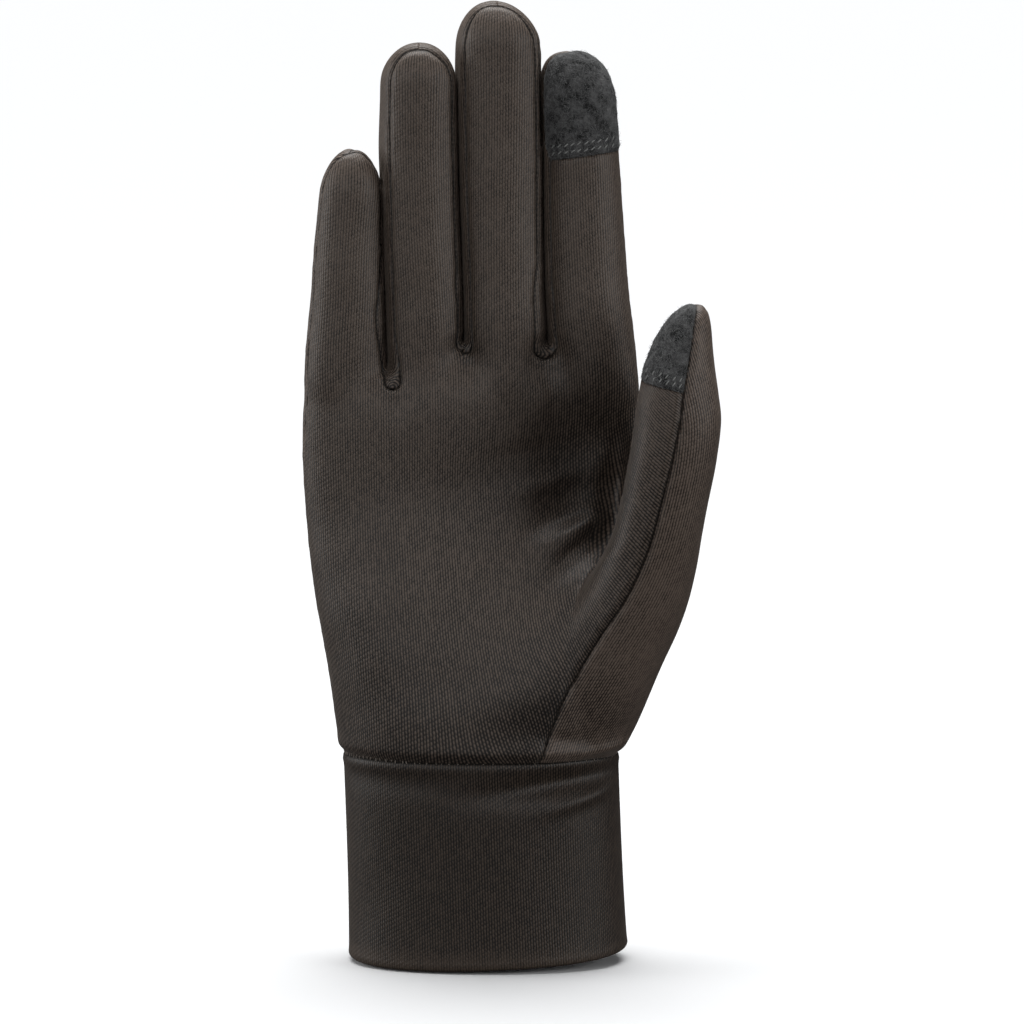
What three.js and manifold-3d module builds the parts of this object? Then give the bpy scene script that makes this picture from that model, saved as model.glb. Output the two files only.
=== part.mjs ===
// A right-hand glove liner of stretch knit, shaped as worn, in millimetres, +Z towards the fingertips.
// The palm faces -Y and the thumb lies on the +X side. The origin is the centre of the cuff's mouth.
// It is sewn from a palm panel, a back panel, three U-shaped fourchettes between the fingers,
// touch pads at the tips of the index finger and thumb, and a doubled cuff.
import * as THREE from "three";
import { mergeVertices } from "three/addons/utils/BufferGeometryUtils.js";
import Module from "manifold-3d";

// Cloth and seams
const clothWall = 1.0;
const cuffWall = 2.0; // two layers, folded at the hem
const seamGap = 0.3;
const fourchetteWidth = 11;
const seamBend = 3; // over which a fourchette tapers to nothing on the two outer fingers
const outseamForward = 3.2; // how far the little finger's side seam lies in front of its middle

// Cuff
const cuffHeight = 49.5;
const cuffWidth = 68;
const cuffDepth = 45;
const cuffFlare = 1.2; // how much wider the mouth is than the waist of the cuff
const rimDip = 2.6; // how far the mouth's palm side hangs below its centre
const rimSlope = 1.2; // how far its thumb side stands above its centre

// Palm
const palmLength = 95.5; // cuff seam to the knuckle line
const palmDepth = 28;
const wristShift = -1.8; // middle of the cuff seam, across
const knuckleShift = -4.0; // middle of the knuckle line, across
const hollowDepth = 3.6; // cup of the palm
const foldDepth = 1.3; // folds that run from the thumb's root into the palm

// Fingers: width at the knuckle line, depth at the root, length from the knuckle line to the tip,
// and how far the tip's apex stands aside, as a share of the width
const fingerGap = 0.5;
const fingerCurl = 3.0; // how far the longest fingertip leans towards the palm side
const domeShare = 0.56; // height of a fingertip's dome, as a share of the finger's width
const littleWidth = 20.0;
const littleDepth = 17.5;
const littleLength = 52.8;
const ringWidth = 18.6;
const ringDepth = 19.0;
const ringLength = 78.9;
const middleWidth = 20.4;
const middleDepth = 20.0;
const middleLength = 88.9;
const indexWidth = 22.4;
const indexDepth = 19.5;
const indexLength = 76.6;
const fingers = [
  { width: littleWidth, depth: littleDepth, length: littleLength, apex: 0.02 },
  { width: ringWidth, depth: ringDepth, length: ringLength, apex: 0.0 },
  { width: middleWidth, depth: middleDepth, length: middleLength, apex: -0.04 },
  { width: indexWidth, depth: indexDepth, length: indexLength, apex: -0.08 },
];

// Thumb: its length runs from the cuff seam to its tip
const thumbLength = 112.3;
const thumbWidth = 21.1;
const thumbDepth = 21.0;
const thumbReach = 50.0; // how far its tip lies to the side of the cuff's centre
const thumbForward = 23.0; // how far it stands in front of the palm's middle

// Touch pads: length of each on the middle of its digit, and how much its lower edge slants
const indexPadLength = 25.4;
const indexPadSlant = 3.0; // over the pad's width
const thumbPadLength = 21.0;
const thumbPadSlant = -5.2;

// Worked out from the sizes above
const knuckleWidth =
  fingers.reduce((sum, f) => sum + f.width, 0) +
  fingerGap * (fingers.length - 1);
const knuckleHeight = cuffHeight + palmLength;
const longest = Math.max(...fingers.map((f) => f.length));
const farAway = 2 * (knuckleHeight + longest);

// Palm sections. up is a share of palmLength; left and right are shares of half the knuckle width,
// front and back of half the palm's depth; square is the exponent of the section, 2 for an ellipse.
const palmRows = [
  { up: -0.08, left: 0.835, right: 0.84, front: 1.66, back: 1.64, square: 2.2 },
  { up: 0.0, left: 0.842, right: 0.85, front: 1.66, back: 1.64, square: 2.2 },
  { up: 0.1, left: 0.862, right: 0.9, front: 1.58, back: 1.5, square: 2.3 },
  { up: 0.25, left: 0.905, right: 0.97, front: 1.38, back: 1.28, square: 2.4 },
  { up: 0.4, left: 0.958, right: 1.0, front: 1.14, back: 1.12, square: 2.5 },
  { up: 0.55, left: 0.992, right: 1.01, front: 0.98, back: 1.02, square: 2.6 },
  { up: 0.7, left: 1.01, right: 1.01, front: 0.9, back: 0.95, square: 2.7 },
  { up: 0.82, left: 1.012, right: 1.001, front: 0.83, back: 0.87, square: 2.8 },
  { up: 0.9, left: 1.0, right: 0.985, front: 0.76, back: 0.77, square: 2.8 },
  { up: 0.935, left: 0.96, right: 0.965, front: 0.71, back: 0.71, square: 2.9 },
  { up: 0.965, left: 0.72, right: 0.92, front: 0.64, back: 0.64, square: 3.2 },
  { up: 1.0, left: 0.36, right: 0.8, front: 0.56, back: 0.56, square: 3.6 },
  { up: 1.03, left: 0.22, right: 0.64, front: 0.47, back: 0.47, square: 4.0 },
  { up: 1.053, left: 0.13, right: 0.46, front: 0.38, back: 0.38, square: 4.0 },
];

// Dents and folds of the palm's front. x is a share of half the knuckle width from the palm's axis,
// up a share of palmLength, long and wide shares of palmLength, turn degrees from level,
// and deep a share of hollowDepth or foldDepth: plus sinks, minus swells.
const hollowRows = [
  { x: 0.56, up: 0.68, long: 0.28, wide: 0.19, turn: 68, deep: 1.0 },
  { x: 0.05, up: 0.5, long: 0.26, wide: 0.3, turn: 90, deep: 0.45 },
  { x: 0.62, up: 0.33, long: 0.3, wide: 0.19, turn: 60, deep: -1.5 },
  { x: -0.5, up: 0.35, long: 0.28, wide: 0.22, turn: 94, deep: -0.6 },
];
const foldRows = [
  { x: 0.5, up: 0.72, long: 0.16, wide: 0.04, turn: 19, deep: -0.8 },
  { x: 0.56, up: 0.64, long: 0.15, wide: 0.036, turn: 24, deep: 1.0 },
  { x: 0.62, up: 0.58, long: 0.15, wide: 0.034, turn: 26, deep: -0.9 },
  { x: 0.66, up: 0.52, long: 0.13, wide: 0.034, turn: 34, deep: 1.0 },
];

// Sideways drift of the five finger edges above the knuckle line: up is a share of the longest
// finger's length, the rest are shares of the knuckle width.
const edgeRows = [
  { up: -0.3, e0: 0.002, e1: 0.02, e2: 0.016, e3: 0.008, e4: 0.014 },
  { up: 0.0, e0: 0.005, e1: 0.003, e2: 0.0, e3: -0.002, e4: -0.008 },
  { up: 0.18, e0: 0.025, e1: -0.003, e2: -0.004, e3: -0.014, e4: -0.033 },
  { up: 0.3, e0: 0.034, e1: -0.007, e2: -0.008, e3: -0.018, e4: -0.045 },
  { up: 0.46, e0: 0.051, e1: -0.01, e2: -0.014, e3: -0.02, e4: -0.057 },
  { up: 0.62, e0: 0.065, e1: -0.013, e2: -0.018, e3: -0.02, e4: -0.069 },
  { up: 0.8, e0: 0.075, e1: -0.009, e2: -0.02, e3: -0.024, e4: -0.083 },
  { up: 1.0, e0: 0.08, e1: -0.005, e2: -0.017, e3: -0.031, e4: -0.095 },
];
const edgeNames = ["e0", "e1", "e2", "e3", "e4"];

// Depth along a finger: up is a share of the way from the knuckle line to the tip's dome.
const fingerDepthRows = [
  { up: -0.45, depth: 0.95 },
  { up: -0.2, depth: 1.0 },
  { up: 0.0, depth: 1.0 },
  { up: 0.25, depth: 0.96 },
  { up: 0.6, depth: 0.92 },
  { up: 1.0, depth: 0.86 },
];

// Thumb sections. up is a share of thumbLength, across of thumbReach, half of half the thumb's
// width, forward of thumbForward, depth of half its depth, and seam the seam's place in front,
// as a share of the half width from the section's middle.
const thumbRows = [
  { up: -0.06, across: 0.29, half: 1.62, forward: 0.12, depth: 1.36, seam: -0.1 },
  { up: 0.0, across: 0.315, half: 1.64, forward: 0.15, depth: 1.4, seam: -0.14 },
  { up: 0.07, across: 0.387, half: 1.65, forward: 0.2, depth: 1.44, seam: -0.2 },
  { up: 0.14, across: 0.459, half: 1.64, forward: 0.27, depth: 1.44, seam: -0.245 },
  { up: 0.21, across: 0.539, half: 1.56, forward: 0.36, depth: 1.38, seam: -0.25 },
  { up: 0.28, across: 0.624, half: 1.46, forward: 0.46, depth: 1.3, seam: -0.25 },
  { up: 0.35, across: 0.704, half: 1.33, forward: 0.57, depth: 1.2, seam: -0.185 },
  { up: 0.42, across: 0.77, half: 1.17, forward: 0.68, depth: 1.1, seam: -0.16 },
  { up: 0.49, across: 0.818, half: 1.04, forward: 0.78, depth: 1.03, seam: -0.135 },
  { up: 0.57, across: 0.856, half: 1.0, forward: 0.87, depth: 0.98, seam: -0.105 },
  { up: 0.66, across: 0.894, half: 1.0, forward: 0.95, depth: 0.94, seam: -0.045 },
  { up: 0.745, across: 0.92, half: 0.995, forward: 1.0, depth: 0.9, seam: 0.01 },
  { up: 0.8, across: 0.921, half: 0.92, forward: 1.02, depth: 0.86, seam: 0.08 },
  { up: 0.85, across: 0.924, half: 0.83, forward: 1.03, depth: 0.8, seam: 0.17 },
  { up: 0.9, across: 0.936, half: 0.71, forward: 1.03, depth: 0.7, seam: 0.25 },
  { up: 0.95, across: 0.96, half: 0.54, forward: 1.03, depth: 0.55, seam: 0.25 },
  { up: 0.98, across: 0.982, half: 0.37, forward: 1.03, depth: 0.38, seam: 0.23 },
  { up: 0.995, across: 0.995, half: 0.18, forward: 1.03, depth: 0.19, seam: 0.2 },
];

// How finely each form is divided
const palmSides = 36;
const palmRings = 4; // in each stretch of the palm but the folds
const foldRings = 8;
const fingerSides = 14;
const fingerRings = 6;
const domeAngles = [24, 48, 70];
const thumbSides = 18;
const thumbRings = 10;
const thumbTipRings = 6;
const cuffSides = 36;
const cuffRings = 3;
const hemAngles = [0, 30, 60, 90];
const seamRows = 10;
const thumbSeamRows = 24;

// Shares that shape the forms
const roundness = 2.25; // exponent of all sections but the palm's
const foldZone = [0.46, 0.78]; // stretch of palmLength that carries the folds
const palmTop = 0.92; // share of palmLength from which the palm closes over the finger crotches
const dentFade = 0.75; // share of the palm's front depth over which a dent fades in
const rootDepth = 0.3; // how deep a finger's form reaches into the palm, a share of its length
const rootSlim = 0.6; // its thickness there, a share of the finger's
const thumbTaper = 0.85; // share of thumbLength from which the thumb tapers to its tip
const thumbCrotch = 0.585; // share of thumbLength at which the thumb leaves the hand

const wasm = await Module();
wasm.setup();

// Reads one column of a table at a place along it, on a smooth curve through the rows.
function read(rows, at, column) {
  const last = rows.length - 1;
  let i = rows.findIndex((r) => r.up > at) - 1;
  if (i < 0) i = at < rows[0].up ? 0 : last - 1;
  const slope = (k) => {
    const a = rows[Math.max(k - 1, 0)];
    const b = rows[Math.min(k + 1, last)];
    return (b[column] - a[column]) / (b.up - a.up);
  };
  const [p, q] = [rows[i], rows[i + 1]];
  const span = q.up - p.up;
  const t = THREE.MathUtils.clamp((at - p.up) / span, 0, 1);
  const t2 = t * t;
  const t3 = t2 * t;
  return (
    (2 * t3 - 3 * t2 + 1) * p[column] +
    (t3 - 2 * t2 + t) * span * slope(i) +
    (3 * t2 - 2 * t3) * q[column] +
    (t3 - t2) * span * slope(i + 1)
  );
}

// The numbers from a to b in equal steps, both ends included.
const steps = (a, b, count) =>
  Array.from({ length: count + 1 }, (_, i) => a + ((b - a) * i) / count);

const smooth = (a, b, v) => THREE.MathUtils.smoothstep(v, a, b);

// One level ring of a tube: a rounded section with its own front and back depth.
function ring(s, sides, reshape = (p) => p) {
  const exponent = s.square ?? roundness;
  return Array.from({ length: sides }, (_, k) => {
    const angle = (2 * Math.PI * k) / sides;
    const round = (v) => Math.sign(v) * Math.abs(v) ** (2 / exponent);
    const c = round(Math.cos(angle));
    const d = round(Math.sin(angle));
    const depth = d < 0 ? s.front : s.back;
    return reshape(new THREE.Vector3(s.x + s.half * c, s.y + depth * d, s.z));
  });
}

const middleOf = (points) =>
  points
    .reduce((sum, p) => sum.add(p), new THREE.Vector3())
    .divideScalar(points.length);

// A closed solid through rings of equal count, with a pole at each end.
function loft(rings, apex = middleOf(rings.at(-1))) {
  const sides = rings[0].length;
  const points = [...rings.flat(), middleOf(rings[0]), apex];
  const bottom = points.length - 2;
  const top = points.length - 1;
  const faces = [];
  for (let r = 0; r + 1 < rings.length; r++)
    for (let k = 0; k < sides; k++) {
      const a = r * sides + k;
      const b = r * sides + ((k + 1) % sides);
      faces.push(a, b, b + sides, a, b + sides, a + sides);
    }
  for (let k = 0; k < sides; k++) {
    const next = (k + 1) % sides;
    const lastRing = (rings.length - 1) * sides;
    faces.push(bottom, next, k);
    faces.push(top, lastRing + k, lastRing + next);
  }
  return solid(points, faces);
}

const solid = (points, faces) =>
  fromArrays(
    points.flatMap((p) => [p.x, p.y, p.z]),
    faces,
  );

const fromArrays = (positions, faces) =>
  new wasm.Manifold(
    new wasm.Mesh({
      numProp: 3,
      vertProperties: new Float32Array(positions),
      triVerts: new Uint32Array(faces),
    }),
  );

// A front-view outline of [x, z] points, extruded through y from near to far.
function prism(outline, near = -farAway, far = farAway) {
  const shape = new THREE.Shape(
    outline.map(([x, z]) => new THREE.Vector2(x, z)),
  );
  const geometry = new THREE.ExtrudeGeometry(shape, {
    depth: far - near,
    bevelEnabled: false,
  });
  geometry.rotateX(Math.PI / 2);
  geometry.translate(0, far, 0);
  geometry.deleteAttribute("normal");
  geometry.deleteAttribute("uv");
  const merged = mergeVertices(geometry);
  return fromArrays(merged.attributes.position.array, merged.index.array);
}

// The space between two surfaces y = near(x, z) and y = far(x, z) over a front-view grid, whose
// columns give x at a height.
function layer(near, far, columns, zs) {
  const nx = columns.length;
  const nz = zs.length;
  const points = [near, far].flatMap((surface) =>
    zs.flatMap((z) =>
      columns.map((column) => {
        const x = column(z);
        return new THREE.Vector3(x, surface(x, z), z);
      }),
    ),
  );
  const at = (side, i, j) => side * nx * nz + j * nx + i;
  const faces = [];
  const quad = (a, b, c, d) => faces.push(a, b, c, a, c, d);
  for (let j = 0; j + 1 < nz; j++)
    for (let i = 0; i + 1 < nx; i++) {
      quad(at(0, i, j), at(0, i + 1, j), at(0, i + 1, j + 1), at(0, i, j + 1));
      quad(at(1, i, j), at(1, i, j + 1), at(1, i + 1, j + 1), at(1, i + 1, j));
    }
  for (let i = 0; i + 1 < nx; i++) {
    const j = nz - 1;
    quad(at(0, i + 1, 0), at(0, i, 0), at(1, i, 0), at(1, i + 1, 0));
    quad(at(0, i, j), at(0, i + 1, j), at(1, i + 1, j), at(1, i, j));
  }
  for (let j = 0; j + 1 < nz; j++) {
    const i = nx - 1;
    quad(at(0, 0, j), at(0, 0, j + 1), at(1, 0, j + 1), at(1, 0, j));
    quad(at(0, i, j + 1), at(0, i, j), at(1, i, j), at(1, i, j + 1));
  }
  return solid(points, faces);
}

// The biggest body of a solid, without the slivers that a cut can leave.
const largest = (s) =>
  s.decompose().reduce((a, b) => (b.volume() > a.volume() ? b : a));

// The palm's axis across, and the middle of the hand's depth, at a height
const axisX = (z) =>
  THREE.MathUtils.lerp(
    wristShift,
    knuckleShift,
    THREE.MathUtils.clamp((z - cuffHeight) / palmLength, 0, 1),
  );
const middleY = (z) =>
  -fingerCurl * (Math.max(z - knuckleHeight, 0) / longest) ** 2;

// How far the palm's front is pushed in at a front-view point
function dent(x, z) {
  const value = (rows, size) =>
    rows.reduce((sum, r) => {
      const dx = x - axisX(z) - (r.x * knuckleWidth) / 2;
      const dz = z - cuffHeight - r.up * palmLength;
      const turn = THREE.MathUtils.degToRad(r.turn);
      const along = dx * Math.cos(turn) + dz * Math.sin(turn);
      const across = dz * Math.cos(turn) - dx * Math.sin(turn);
      const u = along / (r.long * palmLength);
      const v = across / (r.wide * palmLength);
      return sum + size * r.deep * Math.exp(-u * u - v * v);
    }, 0);
  return value(hollowRows, hollowDepth) + value(foldRows, foldDepth);
}

// The palm's form, inset for the inner face of the cloth. Where it closes over the crotches, the
// wall is taken off its height.
function palmForm(inset) {
  const ups = [
    ...steps(palmRows[0].up, foldZone[0], palmRings),
    ...steps(...foldZone, foldRings).slice(1),
    ...steps(foldZone[1], palmTop, palmRings - 1).slice(1),
    ...steps(palmTop, palmRows.at(-1).up, palmRings - 1).slice(1),
  ];
  return loft(
    ups.map((up) => {
      const size = (column, whole) => (read(palmRows, up, column) * whole) / 2 - inset;
      const left = size("left", knuckleWidth);
      const right = size("right", knuckleWidth);
      const z = cuffHeight + up * palmLength - inset * smooth(foldZone[1], 1, up);
      const section = {
        x: axisX(z) + (right - left) / 2,
        half: (left + right) / 2,
        y: middleY(z),
        front: size("front", palmDepth),
        back: size("back", palmDepth),
        square: read(palmRows, up, "square"),
        z,
      };
      return ring(section, palmSides, (p) => {
        const facing = (section.y - p.y) / section.front;
        p.y += dent(p.x, z) * smooth(0, dentFade, facing);
        return p;
      });
    }),
  );
}

// Where the five finger edges lie at a height: both outer sides and the three slits
function edgeX(index, z) {
  const widths = fingers.slice(0, index).reduce((sum, f) => sum + f.width, 0);
  const gaps = THREE.MathUtils.clamp(index - 0.5, 0, fingers.length - 1);
  const up = (z - knuckleHeight) / longest;
  const drift = read(edgeRows, up, edgeNames[index]) * knuckleWidth;
  return knuckleShift - knuckleWidth / 2 + widths + gaps * fingerGap + drift;
}

const fingerTip = (i) => knuckleHeight + fingers[i].length;
const fingerMiddle = (i, z) => (edgeX(i, z) + edgeX(i + 1, z)) / 2;

// A finger's form: level rings up to the dome, then the rounded tip
function fingerForm(i, inset) {
  const finger = fingers[i];
  const tip = fingerTip(i);
  const dome = domeShare * finger.width;
  const shoulder = tip - dome;
  const section = (z, share) => {
    const low = edgeX(i, z) + (i > 0 ? fingerGap / 2 : 0);
    const high = edgeX(i + 1, z) - (i + 1 < fingers.length ? fingerGap / 2 : 0);
    const up = (z - knuckleHeight) / (shoulder - knuckleHeight);
    const depth =
      (read(fingerDepthRows, Math.min(up, 1), "depth") * finger.depth) / 2;
    return {
      x: (low + high) / 2,
      half: ((high - low) / 2 - inset) * share,
      y: middleY(z),
      front: (depth - inset) * share,
      back: (depth - inset) * share,
      z,
    };
  };
  const root = knuckleHeight - rootDepth * finger.length;
  const rings = steps(root, shoulder, fingerRings).map((z) => {
    const shown = smooth(root, knuckleHeight, z + finger.width / 4);
    return section(z, THREE.MathUtils.lerp(rootSlim, 1, shown));
  });
  const domed = (degrees) => {
    const angle = THREE.MathUtils.degToRad(degrees);
    const s = section(shoulder + dome * Math.sin(angle), Math.cos(angle));
    s.x += finger.apex * finger.width * Math.sin(angle) ** 2;
    s.z = shoulder + (dome - inset) * Math.sin(angle);
    return s;
  };
  const pole = domed(90);
  rings.push(...domeAngles.map(domed));
  return loft(
    rings.map((s) => ring(s, fingerSides)),
    new THREE.Vector3(pole.x, pole.y, pole.z),
  );
}

// The thumb's centre line, half width and seam at a height
function thumbAt(z) {
  const up = (z - cuffHeight) / thumbLength;
  const half = (read(thumbRows, up, "half") * thumbWidth) / 2;
  const x = read(thumbRows, up, "across") * thumbReach;
  return {
    x,
    half,
    y: -read(thumbRows, up, "forward") * thumbForward,
    depth: (read(thumbRows, up, "depth") * thumbDepth) / 2,
    seam: x + read(thumbRows, up, "seam") * half,
  };
}

const thumbTip = cuffHeight + thumbLength;

// The thumb's form. Towards the tip, the wall is taken off its height instead of its sides.
function thumbForm(inset) {
  const [first, last] = [thumbRows[0].up, thumbRows.at(-1).up];
  const ups = [
    ...steps(first, thumbTaper, thumbRings),
    ...steps(thumbTaper, last, thumbTipRings).slice(1),
  ];
  return loft(
    ups.map((up) => {
      const z = cuffHeight + up * thumbLength;
      const t = thumbAt(z);
      const wall = inset * (1 - smooth(thumbTaper, 1, up));
      return ring(
        {
          x: t.x,
          half: t.half - wall,
          y: t.y,
          front: t.depth - wall,
          back: t.depth - wall,
          z: z - inset * smooth(thumbTaper, 1, up),
        },
        thumbSides,
      );
    }),
  );
}

// The whole hand as one solid, then as a shell of cloth above the cuff seam
function handForm(inset) {
  return fingers
    .map((_, i) => fingerForm(i, inset))
    .reduce((sum, f) => sum.add(f), palmForm(inset).add(thumbForm(inset)));
}
const aboveCuff = prism([
  [-farAway, cuffHeight + seamGap / 2],
  [farAway, cuffHeight + seamGap / 2],
  [farAway, farAway],
  [-farAway, farAway],
]);
const shell = handForm(0).subtract(handForm(clothWall)).intersect(aboveCuff);

// Seams between palm panel, fourchettes and back panel, as depths over the front view
const halfFourchette = fourchetteWidth / 2;
const outer = fingers.length - 1;
const fourchetteShare = (x, z) =>
  smooth(fingerMiddle(0, z) - seamBend / 3, fingerMiddle(0, z) + seamBend, x) *
  smooth(-seamBend / 3 - fingerMiddle(outer, z), seamBend - fingerMiddle(outer, z), -x);
const outseam = (x, z) =>
  outseamForward *
  (1 - smooth(fingerMiddle(0, z), fingerMiddle(1, z), x)) *
  smooth(knuckleHeight - palmLength / 2, knuckleHeight, z);
const frontSeam = (x, z) =>
  middleY(z) -
  THREE.MathUtils.lerp(outseam(x, z), halfFourchette, fourchetteShare(x, z));
const backSeam = (x, z) =>
  middleY(z) +
  THREE.MathUtils.lerp(-outseam(x, z), halfFourchette, fourchetteShare(x, z));

const sideMargin = 20;
const gridLeft = knuckleShift - knuckleWidth / 2 - sideMargin;
const gridRight = thumbReach + thumbWidth + sideMargin;
const gridTop = knuckleHeight + longest + sideMargin;
const bend = [-1 / 3, 1 / 3, 1].map((share) => share * seamBend);
const gridX = [
  () => gridLeft,
  ...bend.map((shift) => (z) => fingerMiddle(0, z) + shift),
  ...bend.toReversed().map((shift) => (z) => fingerMiddle(outer, z) - shift),
  () => gridRight,
];
const gridZ = steps(cuffHeight - sideMargin, gridTop, seamRows);
const near = () => -farAway;
const far = () => farAway;
const halfGap = seamGap / 2;
const frontLayer = layer(near, (x, z) => frontSeam(x, z) - halfGap, gridX, gridZ);
const backLayer = layer((x, z) => backSeam(x, z) + halfGap, far, gridX, gridZ);
const bandLayer = layer(
  (x, z) => frontSeam(x, z) + halfGap,
  (x, z) => Math.max(backSeam(x, z) - halfGap, frontSeam(x, z) + seamGap),
  gridX,
  gridZ,
);

// The thumb seam in the front view, from below the cuff seam to above the thumb's tip
const seamHeights = steps(cuffHeight, thumbTip, thumbSeamRows);
const seamPath = (shift) => [
  [thumbAt(cuffHeight).seam + shift, -farAway],
  ...seamHeights.map((z) => [thumbAt(z).seam + shift, z]),
  [thumbAt(thumbTip).seam + shift, farAway],
];
const leftOfSeam = prism([
  ...seamPath(-halfGap),
  [-farAway, farAway],
  [-farAway, -farAway],
]);
const rightOfSeam = prism([
  [farAway, -farAway],
  [farAway, farAway],
  ...seamPath(halfGap).reverse(),
]);

// Behind the thumb's middle, clear of the hand: this part of the thumb belongs to the back panel.
const crotchHeight = cuffHeight + thumbCrotch * thumbLength;
const behindThumb = (grow) =>
  layer(
    (x, z) => thumbAt(z).y - grow,
    (x, z) => thumbAt(z).y + thumbAt(z).depth + clothWall,
    [(z) => thumbAt(z).x - thumbAt(z).half - clothWall, () => gridRight],
    steps(crotchHeight - grow, thumbTip + sideMargin, seamRows),
  );

const palmSide = frontLayer.intersect(leftOfSeam).subtract(behindThumb(seamGap));
const palmCloth = shell.intersect(palmSide);
const backCloth = shell.intersect(
  backLayer
    .add(rightOfSeam)
    .add(behindThumb(0))
    .subtract(palmSide)
    .subtract(bandLayer.intersect(leftOfSeam)),
);

// Touch pads: the parts of the palm panel above a slanting line on the index finger and thumb
function aboveLine(x, z, half, slant) {
  const reach = 2 * half;
  return prism([
    [x - reach, z - slant],
    [x + reach, z + slant],
    [x + reach, farAway],
    [x - reach, farAway],
  ]);
}
const indexPadZone = (lower) => {
  const z = fingerTip(outer) - indexPadLength;
  const half = fingers[outer].width / 2;
  return aboveLine(fingerMiddle(outer, z), z - lower, half, indexPadSlant).subtract(
    prism([
      [-farAway, -farAway],
      [edgeX(outer, z), -farAway],
      [edgeX(outer, z), farAway],
      [-farAway, farAway],
    ]),
  );
};
const thumbPadZone = (lower) => {
  const z = thumbTip - thumbPadLength;
  const t = thumbAt(z);
  const frontHalf = layer(near, () => t.y + t.depth / 4, gridX, gridZ);
  return aboveLine(t.x, z - lower, t.half, thumbPadSlant).intersect(frontHalf);
};

const indexPad = largest(palmCloth.intersect(indexPadZone(0)));
const thumbPad = largest(palmCloth.intersect(thumbPadZone(0)));
const palmPanel = largest(
  palmCloth.subtract(indexPadZone(seamGap)).subtract(thumbPadZone(seamGap)),
);
const backPanel = largest(backCloth);

// Fourchettes: what lies between the seams, from one finger's middle to the next one's
function fourchette(i) {
  const from = fingerMiddle(i, fingerTip(i)) + halfGap;
  const to = fingerMiddle(i + 1, fingerTip(i + 1)) - halfGap;
  const low = knuckleHeight - palmLength / 4;
  const zone = prism([
    [from, low],
    [to, low],
    [to, farAway],
    [from, farAway],
  ]);
  return largest(shell.intersect(bandLayer).intersect(zone));
}

// The cuff: a doubled band with a rounded hem, its mouth tilted as it hangs
function cuffForm(inset) {
  const hem = cuffWall / 2; // radius of the fold at the mouth
  const place = (x, y, z) => {
    const share = 1 - z / cuffHeight;
    const tilt = (rimDip * y) / (cuffDepth / 2) + (rimSlope * x) / (cuffWidth / 2);
    return new THREE.Vector3(x, y, z + tilt * THREE.MathUtils.clamp(share, 0, 1));
  };
  const section = (z, shrink) => {
    const share = z / cuffHeight;
    const flare = (cuffFlare / 2) * (1 - Math.sin(Math.PI * share * 0.5)) ** 2;
    return {
      x: wristShift * THREE.MathUtils.clamp(share, 0, 1),
      y: 0,
      z,
      half: cuffWidth / 2 + flare - inset - shrink,
      front: cuffDepth / 2 + flare - inset - shrink,
      back: cuffDepth / 2 + flare - inset - shrink,
    };
  };
  const top = cuffHeight - seamGap / 2;
  const hemRings = inset
    ? [section(-cuffHeight / 4, 0), section(hem, 0)]
    : hemAngles.map((degrees) => {
        const angle = THREE.MathUtils.degToRad(degrees);
        const shrink = hem * (1 - Math.sin(angle));
        return section(hem * (1 - Math.cos(angle)), shrink);
      });
  const rings = [
    ...hemRings,
    ...steps(hem, inset ? cuffHeight + 1 : top, cuffRings)
      .slice(1)
      .map((z) => section(z, 0)),
  ];
  return loft(
    rings.map((s) => ring(s, cuffSides, (p) => place(p.x, p.y, p.z))),
  );
}
const cuff = cuffForm(0).subtract(cuffForm(cuffWall));

// Colours of the cloths
const knit = { color: 0x3b3734, roughness: 0.62, metalness: 0 };
const cuffKnit = { color: 0x2b2723, roughness: 0.62, metalness: 0 };
const brushed = { color: 0x36383a, roughness: 0.95, metalness: 0 };

function mesh(name, made, look) {
  const data = made.getMesh();
  const geometry = new THREE.BufferGeometry();
  const position = new THREE.BufferAttribute(data.vertProperties, 3);
  geometry.setAttribute("position", position);
  geometry.setIndex(new THREE.BufferAttribute(data.triVerts, 1));
  geometry.computeVertexNormals();
  const shown = new THREE.Mesh(geometry, new THREE.MeshStandardMaterial(look));
  shown.name = name;
  return shown;
}

const glove = new THREE.Group();
glove.name = "glove_liner";
glove.add(
  mesh("palm_panel", palmPanel, knit),
  mesh("back_panel", backPanel, knit),
  mesh("fourchette_little_ring", fourchette(0), knit),
  mesh("fourchette_ring_middle", fourchette(1), knit),
  mesh("fourchette_middle_index", fourchette(2), knit),
  mesh("index_touch_pad", indexPad, brushed),
  mesh("thumb_touch_pad", thumbPad, brushed),
  mesh("cuff", cuff, cuffKnit),
);

export default glove;
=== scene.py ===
# %% [markdown]
# # A stretch-knit glove liner
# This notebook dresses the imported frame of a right-hand glove liner. The CAD part fixes the
# size and the pieces. Here each cloth piece is built again with smooth folds, sewn seams and
# a knitted surface, and then stands for its CAD node.

# %% Load the frame and keep its box
import math

import bmesh
import bpy
import numpy as np
from mathutils import Matrix, Vector
from mathutils.bvhtree import BVHTree
from mathutils.kdtree import KDTree


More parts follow.
